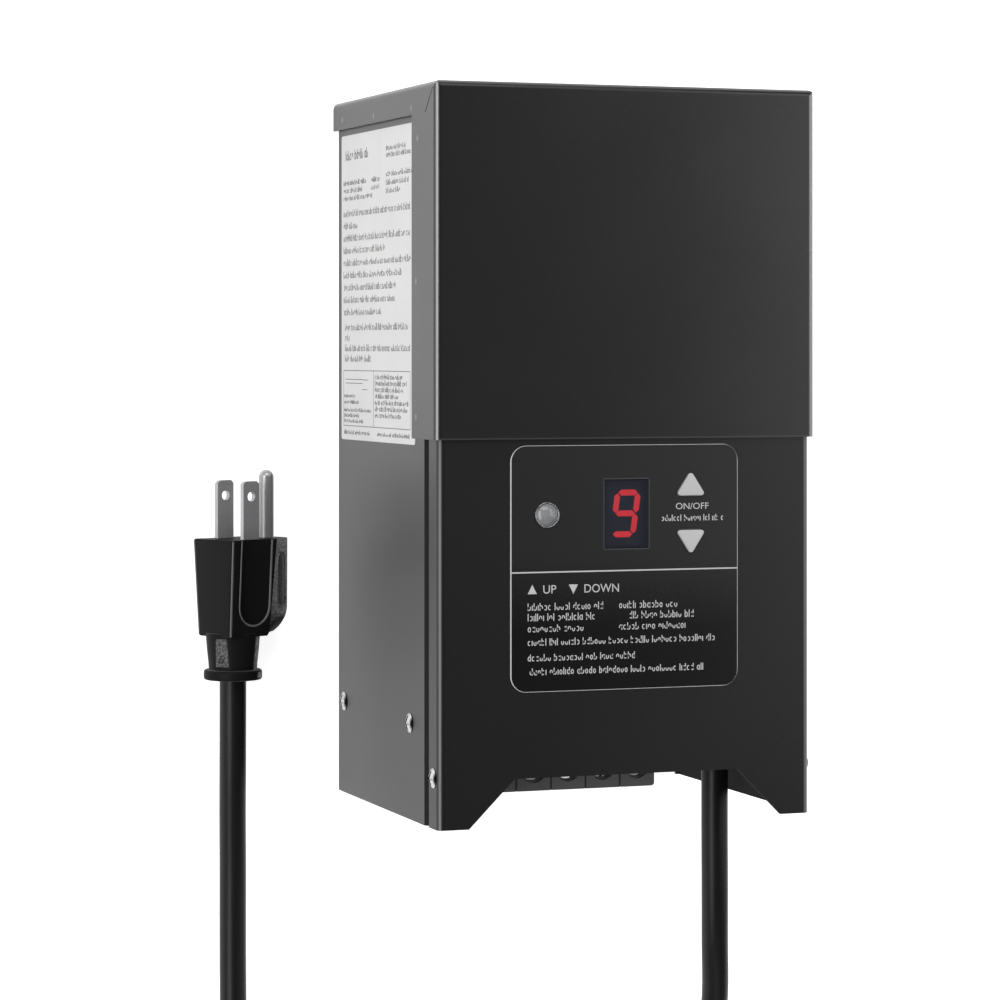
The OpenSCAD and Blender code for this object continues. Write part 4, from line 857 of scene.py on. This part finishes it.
def windowLine(f, low, high):  # a dim line round the display, on the window
    (x0, y0, z0), (x1, y1, z1) = [[c / mm for c in corner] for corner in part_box("display_window")]
    far, near = f["inside"] - f["line"], f["inside"]
    outer = roundedOutline(x0 + far, y0 + far, x1 - far, y1 - far, f["outer"], 4)
    return ring(outer, roundedOutline(x0 + near, y0 + near, x1 - near, y1 - near, f["inner"], 4), low, high)


inkLight = Finish("inkLight", roughness=0.5)
inkLight.set(baseColor=inkLight.mix(inkLight.noise(700, 2), (0.44, 0.44, 0.44), (0.54, 0.54, 0.54)))
verts, faces = overlayInk(overlayFacts)
overlayPrint = meshPiece("overlayPrint", placed(Matrix.Scale(mm, 4), verts), faces, inkLight, smooth=False)
inkDim = Finish("inkDim", roughness=0.4)
inkDim.set(baseColor=inkDim.mix(inkDim.noise(700, 2), (0.035, 0.037, 0.042), (0.05, 0.053, 0.06)))
verts, faces = windowLine(frameFacts, overlayFacts["z"], overlayFacts["z"] + overlayFacts["ink"])
windowFrame = meshPiece("windowFrame", placed(Matrix.Scale(mm, 4), verts), faces, inkDim, smooth=False)

# Label print, on the left wall: across is depth from the back (z), up is y
labelFacts = {
    "x": -59.72, "ink": 0.02, "back": 5.3, "front": 80.4, "low": 2.5, "high": 99.0, "rule": 0.2,
    "table": (0.03, 0.772, 0.94, 0.955), "column": 0.45, "cable": 0.808,
}
# Rows of marks as shares of the width and the height: from, to, down, then height and pen in mm
labelRows = [(0.06, 0.38, 0.083, 3.2, 0.4), (0.62, 0.88, 0.072, 1.7, 0.24), (0.62, 0.96, 0.094, 1.7, 0.24)]
labelRows += [(0.03, u, v, 1.7, 0.24) for u, v in ((0.36, 0.165), (0.30, 0.19), (0.44, 0.215))]
labelRows += [(0.42, 0.54, v, 1.6, 0.24) for v in (0.165, 0.19)]
labelRows += [(0.62, u, v, 1.8, 0.24) for u, v in ((0.97, 0.155), (0.92, 0.182), (0.82, 0.208))]
upperEnds = (0.94, 0.24, 0.95, 0.62, 0.96, 0.84, 0.76, 0.75, 0.58)
labelRows += [(0.03, u, 0.268 + 0.0405 * i, 2.2, 0.26) for i, u in enumerate(upperEnds)]
labelRows += [(0.05, u, 0.642 + 0.034 * i, 2.2, 0.26) for i, u in enumerate((0.92, 0.12, 0.96, 0.42))]
tableEnds = (0.85, 0.90, 0.86, 0.80, 0.92, 0.90, 0.82)
labelRows += [(0.47, u, 0.800 + 0.0205 * i, 1.7, 0.26) for i, u in enumerate(tableEnds)]
footEnds = ((0.20, 0.862), (0.26, 0.882), (0.42, 0.908), (0.26, 0.926), (0.32, 0.944))
labelRows += [(0.04, u, v, 1.3, 0.2) for u, v in footEnds]
labelRows += [(0.04, 0.40, 0.982, 1.4, 0.22), (0.5, 0.94, 0.982, 1.4, 0.22)]


def onLabel(u, v):
    f = labelFacts
    return f["back"] + u * (f["front"] - f["back"]), f["high"] - v * (f["high"] - f["low"])


def labelShapes(f):
    shapes = []
    for u0, u1, v, height, pen in labelRows:
        (start, y), (end, y) = onLabel(u0, v), onLabel(u1, v)
        shapes += scribble(rng, start, end, y, height, pen)
    u0, v0, u1, v1 = f["table"]
    (a, top), (b, foot) = onLabel(u0, v0), onLabel(u1, v1)
    (c, cable), rule = onLabel(f["column"], f["cable"]), f["rule"]
    shapes += [bar(a, top - rule, b, top), bar(a, foot, b, foot + rule), bar(a, foot, a + rule, top)]
    shapes += [bar(b - rule, foot, b, top), bar(c, foot, c + rule, top)]
    for start, end, low in ((2, 20, -0.7), (2, 20, 0.5), (20, 26, 0.4), (20, 25, -2.6)):
        shapes.append(bar(a + start, cable + low, a + end, cable + low + rule))
    return shapes


labelInk = Finish("labelInk", roughness=0.6)
labelInk.set(baseColor=labelInk.mix(labelInk.noise(900, 2), (0.05, 0.05, 0.055), (0.09, 0.09, 0.095)))
shapes = labelShapes(labelFacts)
verts, faces = sheetOf(shapes, 0, labelFacts["ink"])
turned = [(labelFacts["x"] - z, y, x) for x, y, z in verts]
labelPrint = meshPiece("labelPrint", placed(Matrix.Scale(mm, 4), turned), faces, labelInk, smooth=False)
print("print laid:", len(shapes), "marks")


# Finishes of the carried-over nodes
overlayFilm = Finish("overlayFilm", coatRoughness=0.15, specularIORLevel=0.45)
x, y, z = overlayFilm.axes()
lower = overlayFilm.band(y, -0.0300, -0.0520)
grain = overlayFilm.noise(3000, 2)
upperTone, lowerTone = (0.0100, 0.0101, 0.0106), (0.0036, 0.0036, 0.0038)
overlayFilm.set(
    baseColor=overlayFilm.mix(lower, upperTone, lowerTone), roughness=0.30 - lower * 0.10 + grain * 0.05,
    coatWeight=lower * 0.05, normal=overlayFilm.bump(grain, 0.12, 0.00002),
)
labelFilm = Finish("labelFilm")
labelFilm.set(
    baseColor=labelFilm.mix(labelFilm.noise(60, 3), (0.68, 0.68, 0.68), (0.76, 0.76, 0.755)),
    roughness=0.48 + labelFilm.noise(500, 2) * 0.1,
    normal=labelFilm.bump(labelFilm.noise(160, 2), 0.1, 0.0001),
)
windowTint = Finish("windowTint", roughness=0.12, ior=1.45)
windowTint.set(
    baseColor=windowTint.mix(windowTint.noise(200, 2), (0.026, 0.029, 0.042), (0.034, 0.036, 0.050)),
    alpha=0.42 + windowTint.noise(90, 1) * 0.06,
)
displayFace = moulding("displayFace", (0.034, 0.036, 0.052), 0.35)
litRed = Finish("litRed", roughness=0.4, emissionStrength=1.6)
glow = litRed.noise(500, 2)
litRed.set(
    baseColor=litRed.mix(glow, (0.5, 0.01, 0.012), (0.6, 0.02, 0.02)),
    emissionColor=litRed.mix(glow, (0.85, 0.02, 0.03), (1.0, 0.05, 0.06)),
)
lensSmoke = Finish("lensSmoke", roughness=0.14, ior=1.49)
lensSmoke.set(
    baseColor=lensSmoke.mix(lensSmoke.noise(380, 3), (0.20, 0.205, 0.21), (0.30, 0.30, 0.31)),
    alpha=0.86 + lensSmoke.noise(120, 1) * 0.05, normal=lensSmoke.bump(lensSmoke.noise(700, 2), 0.12, 0.0001),
)
ringBright = metal("ringBright", (0.45, 0.45, 0.45), 0.24)
boardGreen = Finish("boardGreen", roughness=0.35)
bricks = boardGreen.node("TexBrick", {"offset": 0.5}, {
    "Vector": boardGreen.place(), "Scale": 260.0, "Mortar Size": 0.03,
    "Color1": (0, 0, 0), "Color2": (0.2, 0.2, 0.2), "Mortar": (1, 1, 1),
})
traces = boardGreen.band(bricks, 0.4, 0.6)
boardGreen.set(
    baseColor=boardGreen.mix(traces, (0.012, 0.10, 0.035), (0.03, 0.20, 0.07)),
    normal=boardGreen.bump(traces, 0.4, 0.00005),
)


def wound(name, tone):
    made = Finish(name, roughness=0.35)
    turns = made.wave(made.axes()[1] * 6000)
    made.set(
        baseColor=made.mix(made.band(turns, -1, 1), [c * 0.45 for c in tone], tone),
        metallic=0.4 + turns * 0.1, normal=made.bump(turns, 0.6, 0.0003),
    )
    return made


laminated = Finish("laminated", metallic=0.6)
sheets = laminated.wave(laminated.axes()[2] * 12500)
laminated.set(
    baseColor=laminated.mix(laminated.band(sheets, -1, 1), (0.03, 0.03, 0.032), (0.11, 0.11, 0.115)),
    roughness=0.45 + laminated.noise(200, 2) * 0.15, normal=laminated.bump(sheets, 0.5, 0.0002),
)
windingOuter = wound("windingOuter", (0.62, 0.26, 0.10))
windingInner = wound("windingInner", (0.55, 0.22, 0.08))
dressing = {
    bodyPaint: "housing_body shelf", panelPaint: "front_panel", hoodPaint: "hood",
    labelFilm: "rating_label", overlayFilm: "control_overlay",
    rimShadedZinc: "shelf_screws front_panel_screws",
    # screws 1, 3 and 4 sit in shade, so they get the painted-shade zinc
    shadedZinc: "terminal_screw_1 terminal_screw_3 terminal_screw_4",
    zinc: "board_standoffs board_screws block_screws core_studs core_spacers core_nuts core_washers "
          "terminal_screw_2 clamp_plate_1 clamp_plate_2 clamp_plate_3 clamp_plate_4 thermal_protector",
    windowTint: "display_window", displayFace: "display_module", litRed: "digit_segments",
    lensSmoke: "photocell_lens", ringBright: "photocell_bezel", sensorClay: "photocell_sensor",
    blackMoulding: "terminal_block switch_bodies up_plunger down_plunger strain_relief",
    boardGreen: "controller_board", relayBlue: "relay", sleeve: "capacitors controller_chip",
    nylon: "board_header bobbin", brass: "conductor_plates ground_lug", receptacleRed: "tab_receptacles",
    laminated: "laminated_core", windingOuter: "primary_winding", windingInner: "secondary_winding",
    greenScrew: "ground_screw", nickel: "plug_blades plug_ground_pin",
}
dressed = set()
for finish, names in dressing.items():
    for name in names.split():
        dress(cad[name], finish)
        dressed.add(name)
print("nodes dressed, left bare:", [n for n, o in cad.items() if not o.hide_render and n not in dressed])


# Floor and studio light
floorFacts = {"size": 6.0, "glow": 0.56, "white": 0.85, "tone": (0.80, 0.80, 0.80)}
floorFinish = Finish("floorWhite", roughness=0.9)
darker = [c * 0.99 for c in floorFacts["tone"]]
floorFinish.set(baseColor=floorFinish.mix(floorFinish.noise(3, 2), darker, floorFacts["tone"]))
seen = floorFinish.node("LightPath", out=0)
glossy = Signal(floorFinish, seen.socket.node.outputs["Is Glossy Ray"])
clear = Signal(floorFinish, seen.socket.node.outputs["Is Transmission Ray"])
strength = seen * floorFacts["white"] + (glossy + clear) * floorFacts["glow"]
white = floorFinish.node("Emission", inputs={"Color": (1, 1, 1), "Strength": strength})
plain = Signal(floorFinish, floorFinish.shader.outputs[0])
both = floorFinish.node("AddShader", inputs={0: plain, 1: white})
floorFinish.tree.links.new(both.socket, floorFinish.out.inputs["Surface"])
half = floorFacts["size"] / 2
floorData = bpy.data.meshes.new("floor")
floorCorners = [(-half, -half, 0), (half, -half, 0), (half, half, 0), (-half, half, 0)]
floorData.from_pydata(floorCorners, [], [(0, 1, 2, 3)])
floorPlane = linked("floor", floorData)
dress(floorPlane, floorFinish)

lamps = {  # place, aim, width, height, watts
    "keyTop": ((-0.15, 1.25, 1.15), (0, 0.0, 0.05), 1.2, 0.7, 12),
    "fillFoot": ((0.0, -1.5, 1.0), (0, -0.05, 0.05), 1.2, 0.7, 2.5),
    "boxRight": ((0.74, 0.30, 0.92), (0.05, 0.05, 0.05), 0.45, 1.1, 4.6),
    "lowRight": ((1.25, 0.05, 0.55), (0.05, 0, 0.05), 0.5, 1.2, 2.6),
    "boxLeft": ((-1.25, 0.05, 0.75), (-0.02, 0, 0.05), 0.55, 1.5, 3.5),
    "highLeft": ((-0.95, -0.1, 0.95), (-0.06, 0, 0.05), 0.35, 1.6, 9),
    "stripLeft": ((-1.1, 0.0, 0.36), (-0.05, 0, 0.06), 0.10, 1.4, 0.8),
}
for name, (at, aim, wide, tall, watts) in lamps.items():
    data = bpy.data.lights.new(name, "AREA")
    data.shape, data.size, data.size_y, data.energy = "RECTANGLE", wide, tall, watts
    lamp = linked(name, data)
    back = (Vector(at) - Vector(aim)).normalized()
    across = Vector((0, 1, 0)).cross(back).normalized()
    lamp.matrix_world = wayMatrix(across, back.cross(across), back, at)

worldFacts = {"tone": 0.09}
world = bpy.data.worlds.new("studio")
bpy.context.scene.world = world
world.use_nodes = True
sky = world.node_tree
path = sky.nodes.new("ShaderNodeLightPath")
pick = sky.nodes.new("ShaderNodeMix")
pick.data_type = "FLOAT"
sky.links.new(path.outputs["Is Camera Ray"], pick.inputs[0])
pick.inputs[2].default_value, pick.inputs[3].default_value = worldFacts["tone"], 1.0
background = sky.nodes["Background"]
background.inputs["Color"].default_value = (1, 1, 1, 1)
sky.links.new(pick.outputs[0], background.inputs["Strength"])
bpy.context.scene.view_settings.view_transform = "Standard"
print("lamps lit:", len(lamps))
